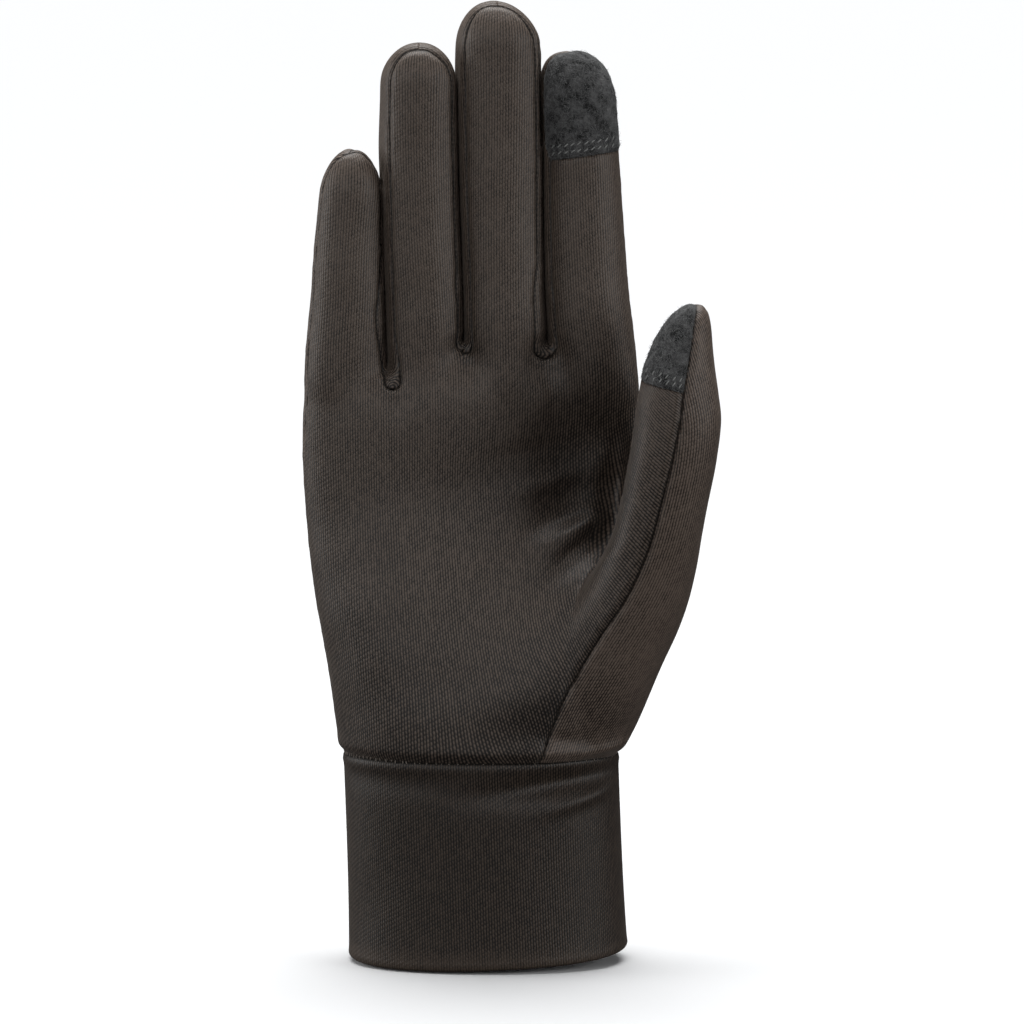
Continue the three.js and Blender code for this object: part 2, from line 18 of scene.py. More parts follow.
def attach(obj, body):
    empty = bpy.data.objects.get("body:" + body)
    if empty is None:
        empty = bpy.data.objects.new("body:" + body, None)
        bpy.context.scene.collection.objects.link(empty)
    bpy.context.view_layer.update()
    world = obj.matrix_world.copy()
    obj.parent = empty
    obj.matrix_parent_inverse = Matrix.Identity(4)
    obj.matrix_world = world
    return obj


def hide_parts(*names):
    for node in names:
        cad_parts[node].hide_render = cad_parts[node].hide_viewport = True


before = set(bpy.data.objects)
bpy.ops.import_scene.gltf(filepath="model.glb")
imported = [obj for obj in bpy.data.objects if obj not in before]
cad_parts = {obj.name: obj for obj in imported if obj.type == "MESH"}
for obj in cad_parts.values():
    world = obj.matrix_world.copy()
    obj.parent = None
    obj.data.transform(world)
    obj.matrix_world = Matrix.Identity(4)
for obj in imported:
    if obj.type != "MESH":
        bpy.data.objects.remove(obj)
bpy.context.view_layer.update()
MM = 0.001

# %% [markdown]
# ## Camera
# The photograph looks at the palm from a little above its middle, through a long lens. The
# camera stands 1.4 m in front of the palm and 6 degrees up, so that the mouth of the cuff
# curves as it does in the picture.

# %% Camera
CAMERA_DISTANCE = 1.4
CAMERA_RISE = math.radians(6)
CAMERA_TARGET = Vector((0.0059, 0, 0.1086))

camera_data = bpy.data.cameras.new("camera")
camera_data.lens = 200.3
camera_data.sensor_width = 36
camera_data.clip_end = 1000
camera = bpy.data.objects.new("camera", camera_data)
bpy.context.scene.collection.objects.link(camera)
back = Vector((0, -math.cos(CAMERA_RISE), math.sin(CAMERA_RISE)))
camera.location = CAMERA_TARGET + CAMERA_DISTANCE * back
camera.rotation_euler = (math.pi / 2 - CAMERA_RISE, 0, 0)
bpy.context.scene.camera = camera
print("Camera at", [round(x, 3) for x in camera.location])


# %% [markdown]
# ## Helpers for shapes
# Lengths below are in millimetres, as on a pattern sheet, and become metres when they are
# written to a mesh. A short table gives the hand's form at a few heights, and a smooth curve
# through its rows gives the heights between.

# %% Tables and curves
def table(columns, *rows):
    return dict(zip(columns.split(), np.array(rows, float).T))


def read(rows, at, name):
    up, value = rows["up"], rows[name]
    index = np.arange(len(up))
    low, high = np.maximum(index - 1, 0), np.minimum(index + 1, len(up) - 1)
    slope = (value[high] - value[low]) / (up[high] - up[low])
    at = np.clip(at, up[0], up[-1])
    i = np.clip(np.searchsorted(up, at, side="right") - 1, 0, len(up) - 2)
    span = up[i + 1] - up[i]
    t = (at - up[i]) / span
    return (
        (2 * t**3 - 3 * t**2 + 1) * value[i]
        + (t**3 - 2 * t**2 + t) * span * slope[i]
        + (3 * t**2 - 2 * t**3) * value[i + 1]
        + (t**3 - t**2) * span * slope[i + 1]
    )


def smooth(low, high, at):
    t = np.clip((at - low) / (high - low), 0, 1)
    return t * t * (3 - 2 * t)


def mix(a, b, share):
    return a + (b - a) * share


# %% [markdown]
# ### Selecting, reading and writing
# Blender's operators act on whatever is selected, so each step first selects just its own
# objects. Points are read and written as one array in millimetres, which is much quicker than
# going vertex by vertex.

# %% Selecting, and reading and writing points
def select_only(*objects):
    bpy.ops.object.select_all(action="DESELECT")
    for o in objects:
        o.select_set(True)
    bpy.context.view_layer.objects.active = objects[0]


def get_points(obj):
    flat = np.zeros(len(obj.data.vertices) * 3, np.float32)
    obj.data.vertices.foreach_get("co", flat)
    return flat.reshape(-1, 3).astype(float) / MM


def set_points(obj, points):
    obj.data.vertices.foreach_set("co", (points * MM).astype(np.float32).ravel())
    obj.data.update()


def get_normals(obj):
    flat = np.zeros(len(obj.data.vertices) * 3, np.float32)
    obj.data.vertex_normals.foreach_get("vector", flat)
    return flat.reshape(-1, 3).astype(float)


def get_edges(obj):
    flat = np.zeros(len(obj.data.edges) * 2, np.int32)
    obj.data.edges.foreach_get("vertices", flat)
    return flat.reshape(-1, 2)


# %% [markdown]
# ## Sizes of the hand
# The glove is drawn as worn: a flat palm that closes over the finger roots, four fingers and
# a thumb that stands forward. Each is a tube of rounded sections. The sizes are those of the
# CAD part.

# %% Sizes of the palm and fingers
CUFF_HEIGHT = 49.5
PALM_LENGTH = 95.5
PALM_DEPTH = 28.0
KNUCKLE_HEIGHT = CUFF_HEIGHT + PALM_LENGTH
WRIST_SHIFT, KNUCKLE_SHIFT = -1.8, -4.0
HOLLOW_DEPTH, FOLD_DEPTH = 3.6, 1.3
FINGER_GAP = 0.5
FINGER_CURL = 3.0
DOME_SHARE = 0.56
ROUNDNESS = 2.25
FINGERS = [  # width, depth, length above the knuckle line, lean of the tip
    (20.0, 17.5, 52.8, 0.02),
    (18.6, 19.0, 78.9, 0.0),
    (20.4, 20.0, 88.9, -0.04),
    (22.4, 19.5, 76.6, -0.08),
]
LONGEST = max(length for _, _, length, _ in FINGERS)
KNUCKLE_WIDTH = sum(width for width, _, _, _ in FINGERS) + 3 * FINGER_GAP

PALM = table(
    "up left right front back square",
    (-0.08, 0.835, 0.84, 1.66, 1.64, 2.2),
    (0.0, 0.842, 0.85, 1.66, 1.64, 2.2),
    (0.1, 0.862, 0.9, 1.58, 1.5, 2.3),
    (0.25, 0.905, 0.97, 1.38, 1.28, 2.4),
    (0.4, 0.958, 1.0, 1.14, 1.12, 2.5),
    (0.55, 0.992, 1.01, 0.98, 1.02, 2.6),
    (0.7, 1.01, 1.01, 0.9, 0.95, 2.7),
    (0.82, 1.012, 1.001, 0.83, 0.87, 2.8),
    (0.9, 1.0, 0.985, 0.76, 0.77, 2.8),
    (0.935, 0.96, 0.965, 0.71, 0.71, 2.9),
    (0.965, 0.72, 0.92, 0.64, 0.64, 3.2),
    (1.0, 0.36, 0.8, 0.56, 0.56, 3.6),
    (1.03, 0.22, 0.64, 0.47, 0.47, 4.0),
    (1.053, 0.13, 0.46, 0.38, 0.38, 4.0),
)
EDGES = table(
    "up e0 e1 e2 e3 e4",
    (-0.3, 0.002, 0.02, 0.016, 0.008, 0.014),
    (0.0, 0.005, 0.003, 0.0, -0.002, -0.008),
    (0.18, 0.025, -0.003, -0.004, -0.014, -0.033),
    (0.3, 0.034, -0.007, -0.008, -0.018, -0.045),
    (0.46, 0.051, -0.01, -0.014, -0.02, -0.057),
    (0.62, 0.065, -0.013, -0.018, -0.02, -0.069),
    (0.8, 0.075, -0.009, -0.02, -0.024, -0.083),
    (1.0, 0.08, -0.005, -0.017, -0.031, -0.095),
)
FINGER_DEPTH = table(
    "up depth",
    (-0.45, 0.95),
    (-0.2, 1.0),
    (0.0, 1.0),
    (0.25, 0.96),
    (0.6, 0.92),
    (1.0, 0.86),
)
print("Knuckles are", KNUCKLE_WIDTH, "mm wide at", KNUCKLE_HEIGHT, "mm")

# %% [markdown]
# ### The thumb's own table
# The thumb stands away from the palm and forward of it, and its root swells into the palm. A
# table of rows up its length says where its middle is and how wide and deep it is. A fifth
# finger turned aside would not give that root.

# %% Sizes of the thumb
THUMB_LENGTH, THUMB_WIDTH, THUMB_DEPTH = 112.3, 21.1, 21.0
THUMB_REACH, THUMB_FORWARD = 50.0, 23.0
THUMB_TIP = CUFF_HEIGHT + THUMB_LENGTH
THUMB = table(
    "up across half forward depth seam",
    (-0.06, 0.29, 1.62, 0.12, 1.36, -0.1),
    (0.0, 0.315, 1.64, 0.15, 1.4, -0.14),
    (0.07, 0.387, 1.65, 0.2, 1.44, -0.2),
    (0.14, 0.459, 1.64, 0.27, 1.44, -0.245),
    (0.21, 0.539, 1.56, 0.36, 1.38, -0.25),
    (0.28, 0.624, 1.46, 0.46, 1.3, -0.25),
    (0.35, 0.704, 1.33, 0.57, 1.2, -0.185),
    (0.42, 0.77, 1.17, 0.68, 1.1, -0.16),
    (0.49, 0.818, 1.04, 0.78, 1.03, -0.135),
    (0.57, 0.856, 1.0, 0.87, 0.98, -0.105),
    (0.66, 0.894, 1.0, 0.95, 0.94, -0.045),
    (0.745, 0.92, 0.995, 1.0, 0.9, 0.01),
    (0.8, 0.921, 0.92, 1.02, 0.86, 0.08),
    (0.85, 0.924, 0.83, 1.03, 0.8, 0.17),
    (0.9, 0.936, 0.71, 1.03, 0.7, 0.25),
    (0.95, 0.96, 0.54, 1.03, 0.55, 0.25),
    (0.98, 0.982, 0.37, 1.03, 0.38, 0.23),
    (0.995, 0.995, 0.18, 1.03, 0.19, 0.2),
)


def thumb_at(z):
    up = (z - CUFF_HEIGHT) / THUMB_LENGTH
    half = read(THUMB, up, "half") * THUMB_WIDTH / 2
    x = read(THUMB, up, "across") * THUMB_REACH
    y = -read(THUMB, up, "forward") * THUMB_FORWARD
    depth = read(THUMB, up, "depth") * THUMB_DEPTH / 2
    return x, y, half, depth, x + read(THUMB, up, "seam") * half


# %% [markdown]
# ## Dents and folds of the palm
# The cupped palm sinks towards the thumb, the ball of the thumb swells, and a few folds fan
# out from the thumb's root, where the stretched cloth bunches. Each row is one soft bump.

# %% Dents and folds
HOLLOWS = table(
    "x up long wide turn deep",
    (0.56, 0.68, 0.28, 0.19, 68, 1.0),
    (0.05, 0.5, 0.26, 0.3, 90, 0.45),
    (0.62, 0.33, 0.3, 0.19, 60, -1.5),
    (-0.5, 0.35, 0.28, 0.22, 94, -0.6),
)
FOLDS = table(
    "x up long wide turn deep",
    (0.5, 0.72, 0.16, 0.04, 19, -0.8),
    (0.56, 0.64, 0.15, 0.036, 24, 1.0),
    (0.62, 0.58, 0.15, 0.034, 26, -0.9),
    (0.66, 0.52, 0.13, 0.034, 34, 1.0),
)


def axis_x(z):
    return mix(WRIST_SHIFT, KNUCKLE_SHIFT, np.clip((z - CUFF_HEIGHT) / PALM_LENGTH, 0, 1))


def middle_y(z):
    return -FINGER_CURL * (np.maximum(z - KNUCKLE_HEIGHT, 0) / LONGEST) ** 2


def soft_bump(dx, dz, long, wide, turn):
    turn = math.radians(turn)
    u = (dx * math.cos(turn) + dz * math.sin(turn)) / long
    v = (dz * math.cos(turn) - dx * math.sin(turn)) / wide
    return np.exp(-u * u - v * v)


def bumps(rows, size, x, z):
    total = np.zeros_like(x)
    for across, up, long, wide, turn, deep in zip(*rows.values()):
        dx = x - axis_x(z) - across * KNUCKLE_WIDTH / 2
        dz = z - CUFF_HEIGHT - up * PALM_LENGTH
        total += size * deep * soft_bump(dx, dz, long * PALM_LENGTH, wide * PALM_LENGTH, turn)
    return total


# %% [markdown]
# The finer creases are placed in millimetres. Behind the thumb the palm cloth sinks into a
# narrow valley, which the thumb overhangs. Small sharp folds run from the valley's foot.

# %% Creases in millimetres
THUMB_CREASE = table(
    "x z long wide turn deep",
    (36.0, 113, 16, 8.0, 84, 6.0),
    (29.4, 104, 9, 4.0, 84, 4.5),
    (28.0, 119, 20, 14.5, 76, 5.8),
    (14.0, 121, 18, 9.0, 24, 1.0),
    (-8.0, 118, 32, 13.0, 4, 1.5),
    (-6.0, 90, 30, 13.0, 4, -0.9),
)
PAINTED_SHADE_ROWS = table(  # painted shade: a darker tone where shade falls, behind the thumb, at the bottoms of the finger crotches and above the cuff seam
    "x z long wide turn deep",
    (30.0, 121, 22, 12.0, 80, 1.25),
    (15.0, 120, 22, 8.0, 22, 0.4),
    (17.0, 60, 17, 6.0, 12, 0.35),
    (24.0, 60, 11, 10.0, 0, 1.2),
    (-23.3, 140.5, 3, 4.5, 0, 0.8),
    (-5.4, 149.5, 3, 4.5, 0, 0.8),
    (13.9, 148, 3, 4.5, 0, 0.8),
)
SMALL_FOLDS = table(
    "x z long wide turn deep",
    (18.3, 117.4, 9.0, 1.9, 19, 0.5),
    (20.8, 109.2, 7.5, 1.7, 24, -0.75),
    (23.4, 106.2, 7.5, 1.3, 26, 0.6),
    (22.8, 101.6, 6.0, 1.5, 33, -0.75),
    (26.0, 97.5, 6.5, 1.4, 40, 0.4),
    (10.0, 124.5, 9.0, 2.2, 12, -0.3),
    (13.0, 57.0, 15.0, 6.0, 6, -1.0),
    (-22.0, 137.0, 1.4, 7.0, 0, -0.25),
    (15.5, 138.5, 1.6, 8.0, 12, -0.3),
    (-8.0, 139.0, 1.5, 7.0, 8, -0.2),
    (30.0, 52.4, 6.0, 1.0, 15, 0.8),
    (20.0, 54.5, 7.0, 2.4, -8, -0.8),
    (29.0, 56.5, 6.0, 2.0, 12, -0.4),
    (-23.3, 137.0, 4.0, 4.5, 0, -0.6),
    (-5.4, 146.0, 3.5, 4.0, 0, -0.6),
    (13.9, 144.5, 5.0, 5.0, 0, -0.8),
)


def soft_rows(rows, x, z):
    total = np.zeros_like(x)
    for across, up, long, wide, turn, deep in zip(*rows.values()):
        total += deep * soft_bump(x - across, z - up, long, wide, turn)
    return total


def valley(x, y, z):
    """How far the front of the palm sinks behind the thumb, but not at the hand's edge."""
    inside = 1 - smooth(32, 37, x)
    return soft_rows(THUMB_CREASE, x, z) * inside * smooth(0, 4, -y)


# %% [markdown]
# ## The hand as tubes
# A round tube is drawn as by hand: a filled circle, extruded ring by ring. Then each ring
# takes the shape of its section. Six tubes overlap where the hand's parts meet.

# %% A straight tube, ring by ring
def tube(name, sides, levels, end="NGON"):
    bpy.ops.object.select_all(action="DESELECT")
    bpy.ops.mesh.primitive_circle_add(vertices=sides, radius=10 * MM, fill_type=end)
    made = bpy.context.object
    made.name = name
    bpy.ops.object.mode_set(mode="EDIT")
    bpy.ops.mesh.select_all(action="SELECT")
    for _ in range(levels - 1):
        bpy.ops.mesh.extrude_region_move(TRANSFORM_OT_translate={"value": (0, 0, MM)})
    bpy.ops.mesh.select_all(action="SELECT")
    bpy.ops.mesh.normals_make_consistent(inside=False)
    bpy.ops.object.mode_set(mode="OBJECT")
    return made


def shape_rings(made, place):
    points = get_points(made)
    level = np.rint(points[:, 2]).astype(int)
    angle = np.arctan2(points[:, 1], points[:, 0])
    set_points(made, np.stack(place(level, angle), axis=1))
    print(made.name, "has", len(points), "points, up to", round(points[:, 2].max()), "rings")
    return made


def section(angle, half, front, back, square):
    def rounded(value):
        return np.sign(value) * np.abs(value) ** (2 / square)

    across, deep = rounded(np.cos(angle)), rounded(np.sin(angle))
    return half * across, np.where(deep < 0, front, back) * deep


# %% [markdown]
# ### Palm
# The palm is the widest tube, flat at the knuckles and round at the wrist. Its hollows and
# folds are pushed in while it is drawn, so that the remesh and the smoothing soften them.

# %% Palm
palm_ups = np.linspace(-0.08, 1.053, 90)


def palm_ring(level, angle):
    up = palm_ups[level]
    z = CUFF_HEIGHT + up * PALM_LENGTH
    left = read(PALM, up, "left") * KNUCKLE_WIDTH / 2
    right = read(PALM, up, "right") * KNUCKLE_WIDTH / 2
    front = read(PALM, up, "front") * PALM_DEPTH / 2
    deep = read(PALM, up, "back") * PALM_DEPTH / 2
    x, y = section(angle, (left + right) / 2, front, deep, read(PALM, up, "square"))
    x = x + axis_x(z) + (right - left) / 2
    facing = smooth(0, 0.75, -y / front)
    dent = bumps(HOLLOWS, HOLLOW_DEPTH, x, z) + bumps(FOLDS, FOLD_DEPTH, x, z)
    y = y + dent * facing
    return x, y + valley(x, y, z) + middle_y(z), z


tubes = [shape_rings(tube("palm_tube", 180, len(palm_ups)), palm_ring)]

# %% [markdown]
# ### Fingers
# A real finger is two panels and strips sewn to a tube with a round tip. Each is drawn here
# as one tube whose last rings draw in to a dome, and the seams are cut in later.

# %% Fingers
TIP_SQUARE = (2.0, 2.0, 2.05, 2.5)  # how blunt each fingertip is
CLEARANCE = 1.0  # each finger's sides stand back until the skin is made


def edge_x(index, z):
    before = sum(width for width, _, _, _ in FINGERS[:index])
    gaps = min(max(index - 0.5, 0), 3) * FINGER_GAP
    drift = read(EDGES, (z - KNUCKLE_HEIGHT) / LONGEST, f"e{index}") * KNUCKLE_WIDTH
    return KNUCKLE_SHIFT - KNUCKLE_WIDTH / 2 + before + gaps + drift


def finger_middle(index, z):
    return (edge_x(index, z) + edge_x(index + 1, z)) / 2


def finger_ring(index):
    width, deep, length, apex = FINGERS[index]
    dome = DOME_SHARE * width
    shoulder = KNUCKLE_HEIGHT + length - dome
    root = KNUCKLE_HEIGHT - 0.3 * length
    straight = np.linspace(root, shoulder, 50)
    bluff = TIP_SQUARE[index]
    turned = np.radians(np.linspace(0, 90, 16)[1:])
    turned[-1] = math.radians(88)
    shares = np.concatenate([np.ones(50), np.cos(turned) ** (2 / bluff)])
    sines = np.concatenate([np.zeros(50), np.sin(turned) ** (2 / bluff)])
    heights = np.concatenate([straight, shoulder + dome * sines[50:]])

    def place(level, angle):
        z, sine = heights[level], sines[level]
        share = shares[level]
        slim = smooth(root, KNUCKLE_HEIGHT, z + width / 4)
        share = np.where(z < shoulder, mix(0.4, 1, slim), share)
        low = edge_x(index, z) + (CLEARANCE + FINGER_GAP / 2 if index > 0 else 0)
        high = edge_x(index + 1, z) - (CLEARANCE + FINGER_GAP / 2 if index < 3 else 0)
        up = np.minimum((z - KNUCKLE_HEIGHT) / (shoulder - KNUCKLE_HEIGHT), 1)
        depth = read(FINGER_DEPTH, up, "depth") * deep / 2 * share
        x, y = section(angle, (high - low) / 2 * share, depth, depth, ROUNDNESS)
        x = x + (low + high) / 2 + apex * width * sine**2
        return x, y + valley(x, y, z) + middle_y(z), z

    return place, len(heights)


for number, name in enumerate(["little", "ring", "middle", "index"]):
    place, levels = finger_ring(number)
    tubes.append(shape_rings(tube(name + "_tube", 96, levels), place))

# %% [markdown]
# ### Thumb
# The thumb is drawn like a finger, but its rings follow the thumb's own table.

# %% Thumb
thumb_ups = np.concatenate([np.linspace(-0.06, 0.85, 60), np.linspace(0.86, 0.995, 18)])


def thumb_ring(level, angle):
    z = CUFF_HEIGHT + thumb_ups[level] * THUMB_LENGTH
    x, y, half, depth, _ = thumb_at(z)
    across, deep = section(angle, half, depth, depth, ROUNDNESS)
    return x + across, y + deep, z


tubes.append(shape_rings(tube("thumb_tube", 96, len(thumb_ups)), thumb_ring))

# %% [markdown]
# ## One smooth skin
# A worn liner is stretched into one soft skin over the hand. A voxel remesh joins the tubes
# into even small squares, and a smooth modifier rounds the creases between them, as taut
# cloth does.

# %% Join, remesh and smooth
CLOTH_GRID = 0.76


def apply_modifier(obj, kind, **settings):
    select_only(obj)
    modifier = obj.modifiers.new(kind.lower(), kind)
    for name, value in settings.items():
        setattr(modifier, name, value)
    bpy.ops.object.modifier_apply(modifier=modifier.name)


select_only(*tubes)
bpy.ops.object.join()
skin = bpy.context.object
skin.name = "hand_skin"
skin.data.remesh_voxel_size = CLOTH_GRID * MM
bpy.ops.object.voxel_remesh()
apply_modifier(skin, "SMOOTH", factor=0.5, iterations=10)
print("Skin:", len(skin.data.polygons), "faces")

# %% [markdown]
# Where the flat palm runs out into the finger roots, the tubes leave a step that cloth
# stretched over a hand doesn't have. That zone gets a second, stronger smoothing.

# %% Ease the palm into the finger roots
def weigh(obj, name, weights):
    group = obj.vertex_groups.new(name=name)
    steps = np.rint(np.clip(weights, 0, 1) * 10).astype(int)
    for step in range(1, 11):
        group.add(np.nonzero(steps == step)[0].tolist(), step / 10, "REPLACE")


def root_zone(p):
    x, y, z = p.T
    zone = smooth(116, 130, z) * (1 - smooth(146, 158, z))
    for i in (1, 2, 3):
        near_slit = np.exp(-(((x - edge_x(i, z)) / 3.2) ** 2)) * smooth(128, 136, z)
        zone = zone * (1 - near_slit)
    near_thumb = smooth(-12, -16, y) * smooth(24, 30, x)
    return zone * (1 - near_thumb)


weigh(skin, "roots", root_zone(get_points(skin)))
apply_modifier(skin, "SMOOTH", factor=0.6, iterations=70, vertex_group="roots")
skin.vertex_groups.clear()
print("Roots eased")

# %% [markdown]
# The fingers were kept apart so that the remesh couldn't web them together. Now each side
# moves back to its slit, until the neighbours nearly touch, and the slit takes a slight
# twist from front to back, as pressed fingers do.

# %% Bring the fingers together
SLIT = 0.1
SLIT_TWIST = 0.8
SLIT_BOTTOMS = (139, 146, 146)


def close_fingers(p):
    x, y, z = p.T
    back_off = CLEARANCE + FINGER_GAP / 2
    shift = np.zeros_like(x)
    for i, bottom in enumerate(SLIT_BOTTOMS, start=1):
        away = x - edge_x(i, z)
        side = np.where(away < 0, edge_x(i - 1, z), edge_x(i + 1, z)) - edge_x(i, z)
        share = 1 - np.clip((np.abs(away) - back_off) / (np.abs(side) / 2 - back_off), 0, 1)
        inside = np.abs(away) < np.abs(side) / 2
        reach = -np.sign(away) * np.where(inside, share, 0) * (back_off + 0.1 - SLIT / 2)
        twist = -SLIT_TWIST * np.tanh((y - middle_y(z)) / 3) * np.exp(-((away / 3.5) ** 2))
        shift += (reach + twist) * smooth(bottom, bottom + 8, z)
    return np.stack([x + shift, y, z], axis=1)


set_points(skin, close_fingers(get_points(skin)))

# %% [markdown]
# ## Where the seams run
# A seam is a place where two pieces meet. Each is given here as a number over space, in
# millimetres, that is below zero on one side and above it on the other. The palm panel
# meets the fourchettes in front, the fourchettes meet the back panel behind, and the thumb
# seam runs up the thumb in front.

# %% Seam fields
SEAM_SHARES = [  # of the half depth, at each finger's left, tip and right
    (0.2, 0.2, 0.2),
    (0.66, 0.56, 0.56),
    (0.6, 0.47, 0.58),
    (0.55, 0.3, 0.3),
]
BACK_DEPTH = 5.5
OUTSEAM_FORWARD = 3.2
SEAM_BEND = 3.0
INDEX_PAD_LENGTH, INDEX_PAD_SLOPE = 25.4, 0.134
THUMB_PAD_LENGTH, THUMB_PAD_SLOPE = 21.0, -0.245
CROTCHES = [(-23.3, 139.6, 1.9), (-5.4, 148.4, 1.1), (13.9, 147.0, 2.2)]  # x, bottom, half
THUMB_CROTCH = CUFF_HEIGHT + 0.585 * THUMB_LENGTH


def band_share(x, z):
    first, last = finger_middle(0, z), finger_middle(3, z)
    return smooth(first - SEAM_BEND / 3, first + SEAM_BEND, x) * smooth(
        -last - SEAM_BEND / 3, SEAM_BEND - last, -x
    )


def outseam(x, z):
    inner = smooth(finger_middle(0, z), finger_middle(1, z), x)
    return OUTSEAM_FORWARD * (1 - inner) * smooth(KNUCKLE_HEIGHT - 48, KNUCKLE_HEIGHT, z)


def front_depth(x, z):
    depth = np.zeros_like(x)
    for i, (left, tip, right) in enumerate(SEAM_SHARES):
        _, deep, length, _ = FINGERS[i]
        low, high = edge_x(i, z), edge_x(i + 1, z)
        share = (x - (low + high) / 2) / ((high - low) / 2)
        side = np.where(share < 0, left, right)
        if i == 3:
            pad = KNUCKLE_HEIGHT + length - INDEX_PAD_LENGTH
            side = mix(side, 0.28, smooth(pad - 2, pad + 5, z))
        end = KNUCKLE_HEIGHT + length
        close = smooth(end - 14, end - 5, z) * (1 - smooth(0.3, 0.9, np.abs(share)))
        up = (z - KNUCKLE_HEIGHT) / (length - DOME_SHARE * FINGERS[i][0])
        here = mix(side, tip, close) * read(FINGER_DEPTH, up, "depth") * deep / 2
        depth = np.where(x > low, here, depth)
    return depth

# %% [markdown]
# ### The panel and the strips
# Each field joins the simple ones above: the front panel ends at the seam depth, dips into
# the finger crotches and stops at the thumb seam. The fourchettes are what is left in front
# of the back panel.


# %% Fields of the panel and the strips
def crotch_field(p):
    """How far a point of the front lies inside the U of a finger crotch, seen from the front."""
    x, y, z = p.T
    inside = np.full(len(p), -50.0)
    for i, (bottom_x, bottom, half) in enumerate(CROTCHES):
        centre = mix(bottom_x, edge_x(i + 1, z), smooth(bottom, bottom + 18, z))
        below = np.minimum(z - bottom - half, 0)
        away = np.hypot(x - centre, below)
        narrow = half * (1 - smooth(bottom + 12, bottom + 34, z))
        inside = np.maximum(inside, narrow - away)
    return np.where(y < 0, inside, -50.0)


def palm_field(p):
    """Below zero on the palm panel, its pads included."""
    x, y, z = p.T
    low = 1 - smooth(131, 141, z)
    front = middle_y(z) - mix(outseam(x, z), front_depth(x, z), band_share(x, z) * (1 - low))
    first, last = finger_middle(0, z), finger_middle(3, z)
    front += 8 * low * smooth(first, first + 6, x) * (1 - smooth(last + 8, last + 11, x))
    tx, ty, half, depth, seam = thumb_at(z)
    behind = np.maximum.reduce(
        [ty - y, y - ty - depth - 1.5, tx - half - 1.5 - x, THUMB_CROTCH - z]
    )
    return np.maximum.reduce([y - front, crotch_field(p), x - seam, -behind])


def band_field(p):
    """Below zero on the fourchettes, once the palm panel is taken away."""
    x, y, z = p.T
    behind = middle_y(z) + mix(-outseam(x, z), BACK_DEPTH, band_share(x, z))
    return np.maximum(y - behind, x - finger_middle(3, z) + 1)


def tip_field(p):
    """Zero where two fourchettes meet over the ring and middle fingertips."""
    x, _, z = p.T
    ring = np.where(z > KNUCKLE_HEIGHT + FINGERS[1][2] - 14, x - finger_middle(1, z), -50)
    middle = np.where(z > KNUCKLE_HEIGHT + FINGERS[2][2] - 14, x - finger_middle(2, z), -50)
    return np.where(x < edge_x(2, z), ring, middle)

# %% [markdown]
# ### The touch pads
# A pad covers the tip of its finger, and its lower edge is a straight slanting line.


# %% Fields of the touch pads
def index_pad_field(p):
    """Above zero over the index finger's touch pad."""
    x, _, z = p.T
    low = KNUCKLE_HEIGHT + FINGERS[3][2] - INDEX_PAD_LENGTH
    height = z - low - (x - finger_middle(3, low)) * INDEX_PAD_SLOPE
    return np.minimum(height, (x - edge_x(3, z)) * 2)


def thumb_pad_field(p):
    """Above zero over the thumb's touch pad."""
    x, y, z = p.T
    low = THUMB_TIP - THUMB_PAD_LENGTH
    height = z - low - (x - thumb_at(low)[0]) * THUMB_PAD_SLOPE
    return np.minimum(height, -y - 12)


print("Touch pads are", INDEX_PAD_LENGTH, "and", THUMB_PAD_LENGTH, "mm long")


# %% [markdown]
# ## Cutting along the seams
# The skin is cut where a field is zero. A corner that lies close to the seam is drawn onto
# it, an edge that still crosses it is split there, and each crossed face is split between
# its two new corners. That gives every panel a clean edge, which both neighbours share.

# %% Cut a mesh along a field
def cut(mesh, field):
    mesh.verts.ensure_lookup_table()
    mesh.verts.index_update()
    points = np.array([v.co[:] for v in mesh.verts]) / MM
    value = field(points)
    pairs = np.array([(e.verts[0].index, e.verts[1].index) for e in mesh.edges])
    first, second = value[pairs[:, 0]], value[pairs[:, 1]]
    crossing = np.nonzero(first * second < 0)[0]
    share = first[crossing] / (first[crossing] - second[crossing])
    near = np.where(share < 0.5, pairs[crossing, 0], pairs[crossing, 1])
    close = np.minimum(share, 1 - share)
    for k in np.argsort(close):
        if close[k] < 0.32 and value[near[k]] != 0:
            a, b = pairs[crossing[k]]
            mesh.verts[near[k]].co = Vector(mix(points[a], points[b], share[k]) * MM)
            value[near[k]] = 0
    layer = mesh.verts.layers.float.new("cut")
    for v, number in zip(mesh.verts, value):
        v[layer] = number
    mesh.edges.ensure_lookup_table()
    first, second = value[pairs[:, 0]], value[pairs[:, 1]]
    split = [mesh.edges[i] for i in np.nonzero(first * second < 0)[0]]
    for edge in split:
        a, b = edge.verts
        _, new = bmesh.utils.edge_split(edge, a, a[layer] / (a[layer] - b[layer]))
        new[layer] = 0
    touched = {f for v in mesh.verts if v[layer] == 0 for f in v.link_faces}
    for face in touched:
        zero = [v for v in face.verts if v[layer] == 0]
        signs = {v[layer] > 0 for v in face.verts if v[layer] != 0}
        if len(zero) == 2 and len(signs) == 2:
            bmesh.utils.face_split(face, zero[0], zero[1])
    mesh.verts.layers.float.remove(layer)


def face_middles(mesh):
    return np.array([f.calc_center_median()[:] for f in mesh.faces]) / MM


cloth = bmesh.new()
cloth.from_mesh(skin.data)
HEM_LINE = CUFF_HEIGHT - 0.1
cut(cloth, lambda p: p[:, 2] - HEM_LINE)
low = [f for f in cloth.faces if f.calc_center_median().z < HEM_LINE * MM]
bmesh.ops.delete(cloth, geom=low, context="FACES")
for field in (palm_field, band_field, tip_field, index_pad_field, thumb_pad_field):
    cut(cloth, field)
print("After the cuts:", len(cloth.faces), "faces")

